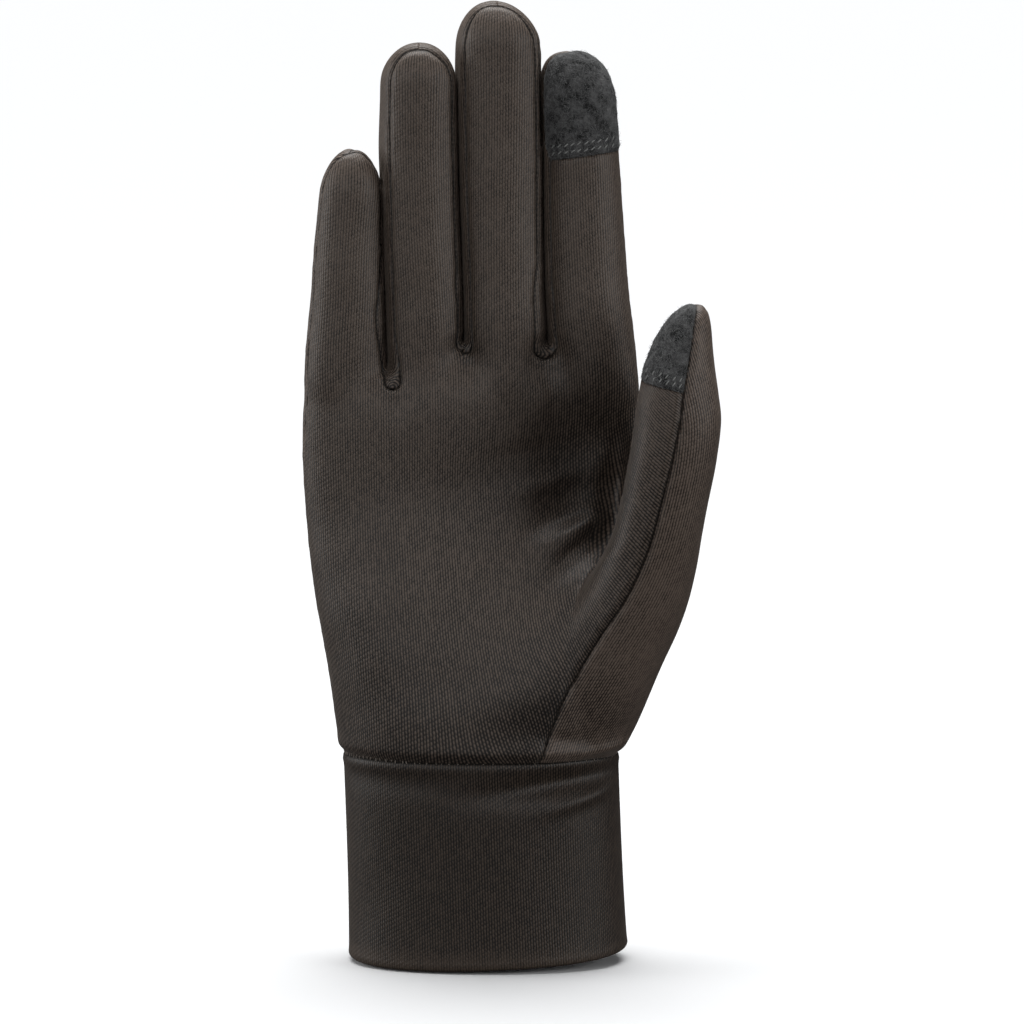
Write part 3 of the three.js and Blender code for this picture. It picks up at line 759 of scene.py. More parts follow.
# %% [markdown]
# ## Naming each face's piece
# Every face now lies wholly on one side of each seam, so its middle tells which piece it
# belongs to. Fourchettes are told apart by the finger slit that they line, and slivers that
# a cut leaves go to the back panel.

# %% Sort the faces into pieces
PIECES = [
    "palm_cloth",
    "back_cloth",
    "little_ring_fourchette",
    "ring_middle_fourchette",
    "middle_index_fourchette",
    "index_pad_cloth",
    "thumb_pad_cloth",
]
middles = face_middles(cloth)
in_palm = palm_field(middles) < 0
in_band = ~in_palm & (band_field(middles) < 0)
in_band &= middles[:, 0] > finger_middle(0, middles[:, 2]) - 1
label = np.where(in_palm, 0, 1)
which = 2 + sum((middles[:, 0] > finger_middle(i, middles[:, 2])).astype(int) for i in (1, 2))
label = np.where(in_band, which, label)
label = np.where(in_palm & (index_pad_field(middles) > 0), 5, label)
label = np.where(in_palm & (thumb_pad_field(middles) > 0), 6, label)


def keep_largest(mesh, label, pieces, into):
    """Faces of a piece that hang loose from its main part join the piece around them."""
    mesh.faces.ensure_lookup_table()
    mesh.faces.index_update()
    for piece in pieces:
        left = set(np.nonzero(label == piece)[0].tolist())
        groups = []
        while left:
            todo, group = [left.pop()], []
            while todo:
                i = todo.pop()
                group.append(i)
                for e in mesh.faces[i].edges:
                    for f in e.link_faces:
                        if f.index in left:
                            left.remove(f.index)
                            todo.append(f.index)
            groups.append(group)
        groups.sort(key=len)
        for group in groups[:-1]:
            label[group] = into[piece]


keep_largest(cloth, label, [2, 3, 4, 5, 6, 0, 1], {2: 1, 3: 1, 4: 1, 5: 0, 6: 0, 0: 1, 1: 0})
for i, name in enumerate(PIECES):
    print(f"{name}: {(label == i).sum()} faces")

# %% [markdown]
# ## Pulling the cloth in at its seams
# A seam thread pulls both panels down into a narrow groove, and the cloth rises in a soft
# roll beside it. The groove is made on the whole skin, before the pieces part, so both
# panels still meet in it.

# %% Seam lines as edges between pieces
cloth.verts.ensure_lookup_table()
cloth.verts.index_update()
cloth.normal_update()
points = np.array([v.co[:] for v in cloth.verts]) / MM
normals = np.array([v.normal[:] for v in cloth.verts])
sewn, laid_on = set(), set()
for edge in cloth.edges:
    sides = {label[f.index] for f in edge.link_faces}
    if len(sides) < 2 or sides <= {2, 3, 4}:
        continue  # no groove where two fourchettes meet over a fingertip
    edge_of_pad = sides in ({0, 5}, {0, 6})
    (laid_on if edge_of_pad else sewn).update(v.index for v in edge.verts)


def distance_to(corners):
    tree = KDTree(len(corners))
    for i in corners:
        tree.insert(points[i], i)
    tree.balance()
    return np.array([tree.find(p)[2] for p in points])


distance = distance_to(sewn)
pad_distance = distance_to(laid_on)
layer = cloth.verts.layers.float.new("seam")
for v, a, b in zip(cloth.verts, distance, pad_distance):
    v[layer] = min(a, b + 0.25)
print("Seam corners:", len(sewn), "and along the pads:", len(laid_on))

# %% [markdown]
# ### Groove, roll and pucker
# Thread pulls a seam in and the cloth beside it rolls up. The corners move along their
# normals: a groove on the seam, a roll beside it and small puckers along it. Moving real
# corners lets the edge of each panel show it, which a bump map could not.

# %% Groove, roll and pucker
GROOVE_DEPTH, GROOVE_WIDTH = 0.5, 0.65
ROLL_HEIGHT = 0.12
WRIST_TUCK = 1.55


def ripple(p, period, seed):
    """A soft wandering value between about -1 and 1, from a few crossed waves."""
    chance = np.random.default_rng(seed)
    total = np.zeros(len(p))
    for _ in range(7):
        way = chance.normal(size=3)
        way *= 2 * math.pi / (period * chance.uniform(0.7, 1.4) * np.linalg.norm(way))
        total += np.sin(p @ way + chance.uniform(0, 2 * math.pi))
    return total / 3


groove = -GROOVE_DEPTH * np.exp(-((distance / GROOVE_WIDTH) ** 2))
groove *= 1 - 0.8 * smooth(0.5, 0.9, normals[:, 2])  # flatter over the fingertips
groove -= 0.2 * np.exp(-((pad_distance / 0.5) ** 2))
roll = ROLL_HEIGHT * np.exp(-(((distance - 1.6) / 0.8) ** 2))
pucker = 0.08 * ripple(points, 3.0, 3) * np.exp(-((distance / 2.4) ** 2))
drape = 0.13 * ripple(points, 19, 5) * smooth(0, 6, distance)
in_front = smooth(0, 5, -points[:, 1]) * smooth(0, 0.5, -normals[:, 1])
folds = soft_rows(SMALL_FOLDS, points[:, 0], points[:, 2]) * in_front
moved = points + normals * (groove + roll + pucker + drape + folds)[:, None]
inward = WRIST_TUCK * np.exp(-(((points[:, 2] - HEM_LINE) / 1.25) ** 2))
moved[:, :2] *= (1 - inward / np.linalg.norm(points[:, :2], axis=1))[:, None]
for v, p in zip(cloth.verts, moved):
    v.co = Vector(p * MM)
print("Deepest groove:", round(-groove.min(), 2), "mm")


# %% [markdown]
# ## Parting the panels
# Each panel becomes its own mesh, with the skin's faces of its label. Its open edges are the
# seams.

# %% One object per panel
def part_piece(name, number):
    piece = cloth.copy()
    piece.faces.ensure_lookup_table()
    gone = [piece.faces[i] for i in np.nonzero(label != number)[0]]
    bmesh.ops.delete(piece, geom=gone, context="FACES")
    mesh = bpy.data.meshes.new(name)
    piece.to_mesh(mesh)
    piece.free()
    obj = bpy.data.objects.new(name, mesh)
    bpy.context.scene.collection.objects.link(obj)
    select_only(obj)
    bpy.ops.object.shade_smooth()
    return obj


cloth.faces.ensure_lookup_table()
panels = {name: part_piece(name, i) for i, name in enumerate(PIECES)}
cloth.free()
bpy.data.objects.remove(skin)

# %% [markdown]
# ## Which way the knit runs
# Tricot shows fine upright ridges, the wales. Each panel is cut from flat cloth and
# stretched, so its wales follow the fingers, lean where the palm cloth is drawn towards the
# thumb, and keep their spacing. The wanted direction is given for each point, and two
# numbers per point are found whose steps along the edges come closest to it: one counts
# across the wales and the other along them.

# %% Directions of the wales
WALE = 0.66
STITCH = 1.1
LEAN = table(
    "up lean", (50, 20), (75, 27), (95, 38), (112, 50), (125, 57), (162, 56)
)


def finger_lean(x, z):
    step = 2.0
    edges = np.stack([edge_x(i, z) for i in range(5)])
    slopes = np.stack([(edge_x(i, z + step) - edge_x(i, z - step)) for i in range(5)])
    share = np.clip((x - edges[0]) / (edges[4] - edges[0]), 0, 0.999) * 4
    low = share.astype(int)
    rows = np.arange(len(x))
    slope = mix(slopes[low, rows], slopes[low + 1, rows], share - low) / (2 * step)
    return slope * smooth(118, 150, z)


def thumb_lean(z):
    return (thumb_at(z + 2)[0] - thumb_at(z - 2)[0]) / 4


def palm_wales(p, n):
    x, y, z = p.T
    tx, ty, half, depth, _ = thumb_at(z)
    near = smooth(tx - half - 12, tx - half + 5, x)
    behind = smooth(0, 4, y - ty - 1) * smooth(96, 104, z)
    lean = -np.tan(np.radians(read(LEAN, z, "lean")) * near * (1 - behind))
    lean = np.where(z > 164, 0, lean) + finger_lean(x, z)
    lean -= 0.2 * smooth(-25, 5, x) * smooth(60, 75, z) * (1 - smooth(110, 125, z))
    return np.stack([lean, np.zeros_like(x), np.ones_like(x)], axis=1)


def back_wales(p, n):
    x, y, z = p.T
    near = (1 - smooth(-6, 4, y)) * smooth(8, 18, x) * (1 - smooth(162, 166, z))
    lean = mix(finger_lean(x, z), thumb_lean(z), near)
    return np.stack([lean, np.zeros_like(x), np.ones_like(x)], axis=1)


def strip_wales(p, n):
    return np.cross(n, np.array([0.0, 1.0, 0.0]))


# %% [markdown]
# ### Numbers along and across the wales
# Flat cloth can't cover a curved panel without some stretch. Conjugate gradients look for the
# two numbers at each corner whose steps come closest to the wanted directions. They are kept
# as an attribute that the material reads, so no unwrapping by hand is needed.

# %% Numbers along and across the wales
def integrate(pairs, count, wanted, rounds=450):
    a, b = pairs.T
    degree = np.bincount(a, minlength=count) + np.bincount(b, minlength=count)

    def gather(steps):
        return np.bincount(b, steps, count) - np.bincount(a, steps, count)

    value = np.zeros(count)
    rest = gather(wanted)
    scaled = rest / degree
    way, power = scaled.copy(), rest @ scaled
    for _ in range(rounds):
        pull = gather(way[b] - way[a])
        step = power / max(way @ pull, 1e-12)
        value += step * way
        rest -= step * pull
        scaled = rest / degree
        power, before = rest @ scaled, power
        way = scaled + way * power / before
    return value


def lay_knit(obj, wales):
    """Keeps at each point: mm across the wales, mm along them, and mm from the seam."""
    p, n, pairs = get_points(obj), get_normals(obj), get_edges(obj)
    along = wales(p, n)
    shear = np.linalg.norm(along, axis=1, keepdims=True)
    along -= (along * n).sum(1, keepdims=True) * n
    along /= np.maximum(np.linalg.norm(along, axis=1, keepdims=True), 1e-9)
    across = np.cross(along, n) * np.maximum(shear, 1) ** 0.3
    steps = p[pairs[:, 1]] - p[pairs[:, 0]]
    knit = np.zeros((len(p), 3), np.float32)
    for column, way in ((0, across), (1, along)):
        mean = (way[pairs[:, 0]] + way[pairs[:, 1]]) / 2
        knit[:, column] = integrate(pairs, len(p), (steps * mean).sum(1))
    seam = np.zeros(len(p), np.float32)
    obj.data.attributes["seam"].data.foreach_get("value", seam)
    knit[:, 2] = seam
    layer = obj.data.attributes.new("knit", "FLOAT_VECTOR", "POINT")
    layer.data.foreach_set("vector", knit.ravel())
    # Painted shade: a darker tone on the palm's front where shade falls, behind the thumb, at
    # the finger crotches and above the cuff, but not on the thumb itself.
    painted_shade = soft_rows(PAINTED_SHADE_ROWS, p[:, 0], p[:, 2]) * (1 - smooth(-2, 4, p[:, 1]))
    thumb_x, _, thumb_half, _, _ = thumb_at(p[:, 2])
    painted_shade *= (p[:, 0] < thumb_x - thumb_half + 2) | (p[:, 2] < 85)
    layer = obj.data.attributes.new("painted_shade", "FLOAT", "POINT")
    layer.data.foreach_set("value", painted_shade.clip(0, 1).astype(np.float32))
    stretch = (np.diff(knit[pairs, 0], axis=1).ravel() - (steps * across[pairs[:, 0]]).sum(1))
    print(f"{obj.name}: wales laid, mean error {np.abs(stretch).mean():.3f} mm an edge")


def rim_distance(obj, p):
    mesh = bmesh.new()
    mesh.from_mesh(obj.data)
    rim = {v.index for e in mesh.edges if e.is_boundary for v in e.verts}
    mesh.free()
    tree = KDTree(len(rim))
    for i in rim:
        tree.insert(p[i], i)
    tree.balance()
    return np.array([tree.find(q)[2] for q in p])


WALES = {"palm_cloth": palm_wales, "back_cloth": back_wales}
for name, obj in panels.items():
    lay_knit(obj, WALES.get(name, strip_wales if "fourchette" in name else palm_wales))

# %% [markdown]
# ## Touch pads
# The pads are a brushed, slightly thicker cloth sewn over the tips of the index finger and
# thumb. Each keeps its sewn edge in the groove and stands a little proud inside it.

# %% Raise the pads
PAD_RISE = 0.3
for name in ("index_pad_cloth", "thumb_pad_cloth"):
    pad = panels[name]
    p, n = get_points(pad), get_normals(pad)
    inner = smooth(0, 1.1, rim_distance(pad, p))
    nap = 0.05 * ripple(p, 2.4, 11) * inner
    set_points(pad, p + n * (PAD_RISE * inner + nap)[:, None])
    print(name, "raised by", PAD_RISE, "mm")

# %% [markdown]
# ## Cloth thickness
# The liner's cloth is about a millimetre thick. Solidify gives each panel its inner face, so
# the glove is hollow, as it is when it is taken off.

# %% Solidify
CLOTH_WALL = 1.0
for obj in panels.values():
    apply_modifier(obj, "SOLIDIFY", thickness=CLOTH_WALL * MM, offset=-1)
    print(obj.name, "now has", len(obj.data.polygons), "faces")

# %% [markdown]
# ## Cuff
# The cuff is a doubled band: its cloth is folded at the mouth and both edges are sewn to the
# wrist. It is drawn as one tube that runs down outside, round the fold, and up inside.

# %% Cuff
CUFF_WIDTH, CUFF_DEPTH, CUFF_WALL = 68.0, 45.0, 2.0
CUFF_FLARE, RIM_DIP, RIM_SLOPE = 1.2, 1.7, 1.2
CUFF_TOP = CUFF_HEIGHT - 0.15


def cuff_profile():
    """Height, and how far in from the outside, down the outer face and up the inner one."""
    lip = [(CUFF_TOP - 0.2, 1.9), (CUFF_TOP + 0.25, 1.0), (CUFF_TOP + 0.1, 0.4)]
    lip += [(CUFF_TOP - 0.7, 0.02), (CUFF_TOP - 1.6, -0.12), (CUFF_TOP - 2.6, 0.05)]
    outer = [(z, 0.12) for z in np.linspace(CUFF_TOP - 3.8, 2.0, 56)]
    hem = [
        (1 - math.cos(a), 1 - math.sin(a))
        for a in np.radians(np.linspace(75, -75, 11))
    ]
    inner = [(z, CUFF_WALL) for z in np.linspace(1.5, CUFF_TOP - 0.6, 30)]
    return np.array(lip + outer + hem + inner)

# %% [markdown]
# ### Dents of the cuff
# The thumb's root pushes folds into the top of the cuff. They are broad soft dents and ridges
# in the front only, added to each ring as it is drawn.


# %% Rings of the cuff
CUFF_DENTS = table(
    "x z long wide turn deep",
    (20, 44.4, 17, 2.9, 8, 2.6),
    (27, 40.6, 10, 1.7, 16, -1.1),
    (-22, 44.5, 18, 3.0, -3, 0.5),
    (27, 30, 26, 7, 96, -0.4),
    (14, 26, 26, 8, 92, 0.25),
    (-20, 26, 28, 10, 88, 0.25),
    (-30, 12, 12, 5, 60, 0.3),
)


def cuff_ring(level, angle):
    z, inset = cuff_profile()[level].T
    share = np.clip(z / CUFF_HEIGHT, 0, 1)
    flare = CUFF_FLARE / 2 * (1 - np.sin(math.pi * share / 2)) ** 2
    half, deep = CUFF_WIDTH / 2 + flare - inset, CUFF_DEPTH / 2 + flare - inset
    x, y = section(angle, half, deep, deep, ROUNDNESS)
    dent = np.zeros_like(x)
    for i, depth in enumerate(CUFF_DENTS["deep"]):
        dx, dz = x - CUFF_DENTS["x"][i], z - CUFF_DENTS["z"][i]
        turn = math.radians(CUFF_DENTS["turn"][i])
        u = (dx * math.cos(turn) + dz * math.sin(turn)) / CUFF_DENTS["long"][i]
        v = (dz * math.cos(turn) - dx * math.sin(turn)) / CUFF_DENTS["wide"][i]
        dent += depth * np.exp(-u * u - v * v)
    y = y + dent * smooth(0, 0.5, -y / deep)
    tilt = RIM_DIP * y / (CUFF_DEPTH / 2) + RIM_SLOPE * x / (CUFF_WIDTH / 2)
    return x + WRIST_SHIFT * share, y, z + tilt * (1 - share)

# %% [markdown]
# ### Draw the cuff
# The cuff has no end caps, because the hand goes through it. So it starts as a bare circle,
# which is extruded ring by ring.


# %% Draw the cuff
def face_outwards(obj):
    select_only(obj)
    bpy.ops.object.mode_set(mode="EDIT")
    bpy.ops.mesh.select_all(action="SELECT")
    bpy.ops.mesh.normals_make_consistent(inside=False)
    bpy.ops.object.mode_set(mode="OBJECT")
    bpy.ops.object.shade_smooth()


cuff = tube("cuff_cloth", 256, len(cuff_profile()), "NOTHING")
angles = np.arctan2(*get_points(cuff)[:, [1, 0]].T)
shape_rings(cuff, cuff_ring)
face_outwards(cuff)

# %% [markdown]
# ### The knit of the cuff
# The band is a flat strip bent round the wrist, so its numbers need no solving: one is the
# length round it and the other the height.


# %% Lay the knit on the cuff
def lay_cuff_knit(obj):
    p = get_points(obj)
    turns = np.linspace(0, 2 * math.pi, 721)
    half, deep = CUFF_WIDTH / 2, CUFF_DEPTH / 2
    x, y = section(turns + math.pi / 2, half, deep, deep, ROUNDNESS)
    length = np.concatenate([[0], np.cumsum(np.hypot(np.diff(x), np.diff(y)))])
    across = np.interp((angles - math.pi / 2) % (2 * math.pi), turns, length)
    closing = np.minimum(across, length[-1] - across)  # the band's own seam, behind
    far = np.minimum(np.abs(p[:, 2] - CUFF_TOP), closing)
    knit = np.stack([across, p[:, 2], far], axis=1).astype(np.float32)
    layer = obj.data.attributes.new("knit", "FLOAT_VECTOR", "POINT")
    layer.data.foreach_set("vector", knit.ravel())


lay_cuff_knit(cuff)
panels["cuff_cloth"] = cuff
print("Cuff has", len(cuff.data.polygons), "faces")


# %% [markdown]
# ## Materials
# The cloths are warp-knitted polyester and elastane. Hex colours are as a screen shows them,
# and one function turns them to the linear light that the shader works in.

# %% Colour and node helpers
def linear(hex_colour):
    channels = [int(hex_colour[i : i + 2], 16) / 255 for i in (1, 3, 5)]
    return tuple(
        c / 12.92 if c <= 0.04045 else ((c + 0.055) / 1.055) ** 2.4 for c in channels
    ) + (1.0,)


def add_node(tree, kind, inputs=(), **settings):
    node = tree.nodes.new("ShaderNode" + kind)
    for name, value in settings.items():
        setattr(node, name, value)
    for socket, value in dict(inputs).items():
        if isinstance(value, bpy.types.NodeSocket):
            tree.links.new(value, node.inputs[socket])
        else:
            node.inputs[socket].default_value = value
    return node


def new_material(name):
    made = bpy.data.materials.new(name)
    made.use_nodes = True
    made.node_tree.nodes.clear()
    return made, made.node_tree


# %% [markdown]
# ### Tricot
# Filament tricot is smooth, fine and faintly shiny: its upright wales catch the light and
# the gaps between them stay dark. Wales stand 0.66 mm apart and stitches 1.1 mm, each wale a
# third of a stitch lower than the one before it, measured on the photo's regular rows.

# %% Tricot material
SEWING_PITCH = 1.3


# low and high shift the tone with height, as painted light; hem lightens the foot of the cuff,
# as painted light.
def tricot(name, dark, light, sheen, low, high, hem=0.0):
    made, tree = new_material(name)

    def maths(operation, *values):
        node = add_node(tree, "Math", dict(enumerate(values)), operation=operation)
        return node.outputs[0]

    def noise(scale, detail):
        inputs = {"Vector": knit, "Scale": scale, "Detail": detail, "Roughness": 0.55}
        return add_node(tree, "TexNoise", inputs).outputs["Fac"]

    knit = add_node(tree, "Attribute", attribute_name="knit").outputs["Vector"]
    across, along, seam = add_node(tree, "SeparateXYZ", {0: knit}).outputs
    column = maths("MULTIPLY_ADD", noise(0.8, 2.0), 0.25, across)
    column = maths("DIVIDE", column, WALE)
    slip = maths("MULTIPLY", maths("FLOOR", column), -1 / 3)
    row = maths("ADD", maths("DIVIDE", along, STITCH), slip)
    wale = maths("COSINE", maths("MULTIPLY", column, 2 * math.pi))
    beat = maths("COSINE", maths("MULTIPLY", row, 2 * math.pi))
    rib = maths("MULTIPLY_ADD", wale, -0.5, 0.5)
    loop = maths("MULTIPLY_ADD", beat, -0.24, 0.7)
    height = maths("MULTIPLY", rib, loop)
    cell = add_node(
        tree, "CombineXYZ", {0: maths("FLOOR", column), 1: maths("FLOOR", row)}
    )
    chance = add_node(tree, "TexWhiteNoise", {"Vector": cell.outputs[0]}).outputs["Value"]
    # Painted shade: the tone also follows the knit's height, so wale tops come out lighter and
    # the gaps between them darker, beside the bump.
    tone = maths("MULTIPLY_ADD", chance, 0.45, maths("MULTIPLY", height, 1.7))
    tone = maths("MULTIPLY_ADD", noise(2.6, 2.0), 0.9, tone)
    tone = maths("MULTIPLY_ADD", noise(0.13, 3.0), 0.25, tone)
    # Painted light: the tone shifts with height, from low below 60 mm to high above 170 mm. The
    # palm cloth's fingers come out lighter, and the back panel is lighter near the wrist.
    place = add_node(tree, "TexCoord").outputs["Object"]
    height_up = add_node(tree, "SeparateXYZ", {0: place}).outputs[2]
    painted_height_light = add_node(
        tree,
        "MapRange",
        {"Value": height_up, "From Min": 0.06, "From Max": 0.17, "To Min": low, "To Max": high},
    )
    tone = maths("ADD", tone, painted_height_light.outputs[0])
    # Painted light: the tone rises by hem in the lowest 4 mm, for light thrown up from the floor
    # onto the cuff's hem.
    painted_hem_light = add_node(
        tree,
        "MapRange",
        {"Value": height_up, "From Min": 0.004, "From Max": 0.0005, "To Max": hem},
    )
    tone = maths("ADD", tone, painted_hem_light.outputs[0])
    # Painted shade: the tone is darkened by the shade attribute laid with the knit, behind the
    # thumb, at the finger crotches and above the cuff.
    painted_shade = add_node(tree, "Attribute", attribute_name="painted_shade").outputs["Fac"]
    tone = maths("MULTIPLY_ADD", painted_shade, -0.42, tone)
    share = add_node(
        tree, "MapRange", {"Value": tone, "From Min": 0.88, "From Max": 1.88}
    )
    colour = add_node(
        tree,
        "Mix",
        {0: share.outputs[0], 6: linear(dark), 7: linear(light)},
        data_type="RGBA",
    )
    needle = maths("SINE", maths("MULTIPLY", along, 2 * math.pi / SEWING_PITCH))
    edge = maths("MULTIPLY_ADD", needle, 0.16, seam)
    hidden = add_node(
        tree,
        "MapRange",
        {"Value": edge, "From Min": 0.1, "From Max": 0.6, "To Min": 0.22},
    )
    shaded = add_node(
        tree,
        "Mix",
        {0: 1.0, 6: colour.outputs[2], 7: hidden.outputs[0]},
        data_type="RGBA",
        blend_type="MULTIPLY",
    )
    pulled = maths("MULTIPLY", hidden.outputs[0], 0.6)
    relief = add_node(
        tree, "Bump", {"Height": height, "Strength": pulled, "Distance": 0.12 * MM}
    )
    shader = add_node(
        tree,
        "BsdfPrincipled",
        {
            "Base Color": shaded.outputs[2],
            "Roughness": 0.5,
            "IOR": 1.5,
            "Sheen Weight": sheen,
            "Sheen Roughness": 0.4,
            "Sheen Tint": linear("#c9bfb6"),
            "Normal": relief.outputs[0],
        },
    )
    add_node(tree, "OutputMaterial", {"Surface": shader.outputs[0]})
    print("Material", name)
    return made


knit_tricot = tricot("polyester_tricot", "#120d09", "#6b5e54", 0.2, -0.2, 0.3)
# Painted light: the back panel is the palm's tricot in lighter colours, with a lighter tone low
# down, so the back of the thumb and hand come out brighter.
painted_light_back_tricot = tricot("polyester_tricot_back_painted_light", "#221a15", "#7a6b60", 0.25, 0.34, 0.04)
# Painted shade: the cuff is the same tricot in darker colours and a lower tone, for the shade
# low on the glove; its hem is painted lighter.
painted_shade_cuff_tricot = tricot("doubled_cuff_tricot_painted_shade", "#0d0906", "#52463c", 0.15, -0.08, -0.08, 0.5)

# %% [markdown]
# ### Brushed pad cloth
# The touch pads are brushed until loose filaments stand up, so they scatter light and look
# matt, soft and slightly blue beside the warm tricot.

# %% Brushed cloth material
made, tree = new_material("brushed_touch_cloth")
place = add_node(tree, "TexCoord")
clumps = add_node(
    tree,
    "TexNoise",
    {"Vector": place.outputs["Object"], "Scale": 900.0, "Detail": 4.0, "Roughness": 0.65,
     "Distortion": 0.6},
)
tufts = add_node(
    tree,
    "TexNoise",
    {"Vector": place.outputs["Object"], "Scale": 320.0, "Detail": 2.0, "Roughness": 0.5},
)
both = add_node(
    tree, "Math", {0: clumps.outputs["Fac"], 1: tufts.outputs["Fac"]}, operation="ADD"
)
share = add_node(
    tree, "MapRange", {"Value": both.outputs[0], "From Min": 0.8, "From Max": 1.25}
)
colour = add_node(
    tree,
    "Mix",
    {0: share.outputs[0], 6: linear("#1f1f1f"), 7: linear("#6e6e6e")},
    data_type="RGBA",
)
relief = add_node(
    tree, "Bump", {"Height": both.outputs[0], "Strength": 0.8, "Distance": 0.5 * MM}
)
shader = add_node(
    tree,
    "BsdfPrincipled",
    {
        "Base Color": colour.outputs[2],
        "Roughness": 0.95,
        "Specular IOR Level": 0.2,
        "Sheen Weight": 0.35,
        "Sheen Roughness": 0.6,
        "Sheen Tint": linear("#b0b2b4"),
        "Normal": relief.outputs[0],
    },
)
add_node(tree, "OutputMaterial", {"Surface": shader.outputs[0]})
brushed_cloth = made

# %% [markdown]
# ### Thread
# Spun polyester thread is a matt grey, a little lighter than the cloth it sews.


# %% Plain thread materials
def thread(name, colour):
    made, tree = new_material(name)
    shader = add_node(
        tree, "BsdfPrincipled", {"Base Color": linear(colour), "Roughness": 0.7}
    )
    add_node(tree, "OutputMaterial", {"Surface": shader.outputs[0]})
    return made


pad_thread = thread("grey_pad_thread", "#a5a6a4")
cuff_thread = thread("seam_thread", "#8c8279")
fibre = thread("loose_filament", "#7d7e7e")

# %% [markdown]
# ## Stitches
# One stitch is a short rounded bar of thread. It is modelled once, from a few-sided
# cylinder with drawn-in ends, and a copy is laid at each needle hole, sunk into the cloth.


# %% One stitch
def stitch_model(length, thick):
    bpy.ops.object.select_all(action="DESELECT")
    bpy.ops.mesh.primitive_cylinder_add(
        vertices=6, radius=thick / 2 * MM, depth=length * 0.6 * MM, end_fill_type="NGON"
    )
    made = bpy.context.object
    for side in (1, -1):
        bpy.ops.object.mode_set(mode="EDIT")
        bpy.ops.mesh.select_all(action="DESELECT")
        bpy.ops.object.mode_set(mode="OBJECT")
        for face in made.data.polygons:
            face.select = face.normal.z * side > 0.9
        bpy.ops.object.mode_set(mode="EDIT")
        bpy.ops.mesh.extrude_region_move(
            TRANSFORM_OT_translate={"value": (0, 0, side * length * 0.2 * MM)}
        )
        bpy.ops.transform.resize(value=(0.4, 0.4, 1))
    bpy.ops.object.mode_set(mode="OBJECT")
    bpy.ops.object.shade_smooth()
    return made


def lay_copies(model, name, places, material):
    """places: rows of (middle in mm, direction, outward normal)."""
    base = np.array([v.co[:] for v in model.data.vertices])
    faces = [tuple(f.vertices) for f in model.data.polygons]
    corners, rings = [], []
    for k, (middle, way, out) in enumerate(places):
        way = Vector(way).normalized()
        side = Vector(out).cross(way).normalized()
        turn = np.array(Matrix((side, way.cross(side) * -1, way))).T
        corners.append(base @ turn.T + np.array(middle) * MM)
        rings += [tuple(i + k * len(base) for i in f) for f in faces]
    mesh = bpy.data.meshes.new(name)
    mesh.from_pydata(np.concatenate(corners).tolist(), [], rings)
    obj = bpy.data.objects.new(name, mesh)
    bpy.context.scene.collection.objects.link(obj)
    face_outwards(obj)
    mesh.materials.append(material)
    print(name, "has", len(places), "stitches")
    return obj


def surface_tree(obj):
    dg = bpy.context.evaluated_depsgraph_get()
    return BVHTree.FromObject(obj, dg)


# %% [markdown]
# ### Stitch rows on the touch pads
# The pads are sewn on with two rows of slanted stitches. Each place is found by a ray from
# the front, so that the stitch lies on the raised cloth and not inside it.

# %% Stitch rows on the touch pads
def pad_row(pad, low, middle_x, slope, above, half):
    tree = surface_tree(pad)
    places = []
    chance = np.random.default_rng(int(above * 10))
    for x in np.arange(middle_x - half, middle_x + half, 1.6):
        x += chance.uniform(-0.12, 0.12)
        z = low + above + (x - middle_x) * slope + chance.uniform(-0.1, 0.1)
        start = Vector((x, -80, z)) * MM
        hit, normal, _, _ = tree.ray_cast(start, Vector((0, 1, 0)))
        if hit is None or normal.y > -0.15:
            continue
        way = Vector((0.78, 0, 0.62)) if slope > 0 else Vector((0.6, 0, 0.8))
        way -= way.dot(normal) * normal
        places.append((np.array(hit) / MM + 0.07 * np.array(normal), way, normal))
    return places


index_low = KNUCKLE_HEIGHT + FINGERS[3][2] - INDEX_PAD_LENGTH
thumb_low = THUMB_TIP - THUMB_PAD_LENGTH
index_rows = []
for above in (1.5, 3.3):
    index_rows += pad_row(
        panels["index_pad_cloth"], index_low, finger_middle(3, index_low), INDEX_PAD_SLOPE,
        above, 11.5,
    )
thumb_rows = []
for above in (1.5, 3.0):
    thumb_rows += pad_row(
        panels["thumb_pad_cloth"], thumb_low, thumb_at(thumb_low)[0], THUMB_PAD_SLOPE,
        above, 11,
    )
PAD_STITCH = (1.25, 0.3)  # length and thickness in mm
bar = stitch_model(*PAD_STITCH)
extras = {
    "index_pad_stitches": lay_copies(bar, "index_pad_stitches", index_rows, pad_thread),
    "thumb_pad_stitches": lay_copies(bar, "thumb_pad_stitches", thumb_rows, pad_thread),
}

# %% [markdown]
# ### Stitches of the cuff seam
# Where the cuff is sewn on, the overlock thread shows between the two cloths as tiny upright
# loops.

# %% Stitches round the cuff seam
places = []
chance = np.random.default_rng(21)
CUFF_STITCHES = 118
for k in range(CUFF_STITCHES):
    angle = 2 * math.pi * (k + chance.uniform(-0.25, 0.25)) / CUFF_STITCHES
    half, deep = CUFF_WIDTH / 2 - 0.35, CUFF_DEPTH / 2 - 0.35
    x, y = section(np.array([angle]), half, deep, deep, ROUNDNESS)
    out = Vector((math.cos(angle) / half, math.sin(angle) / deep, 0)).normalized()
    middle = np.array([x[0] + WRIST_SHIFT, y[0], CUFF_TOP + 0.15 + chance.uniform(-0.2, 0.3)])
    way = Vector((chance.uniform(-0.25, 0.25), 0, 1))
    places.append((middle, way, out))
CUFF_STITCH = (0.95, 0.26)  # length and thickness in mm
small = stitch_model(*CUFF_STITCH)
extras["cuff_seam_stitches"] = lay_copies(small, "cuff_seam_stitches", places, cuff_thread)

# %% [markdown]
# ## Loose filaments on the pads
# Brushing pulls single filaments out of the cloth. Each is a thin bent strand of three
# sides, laid nearly flat on the pad in a random direction.


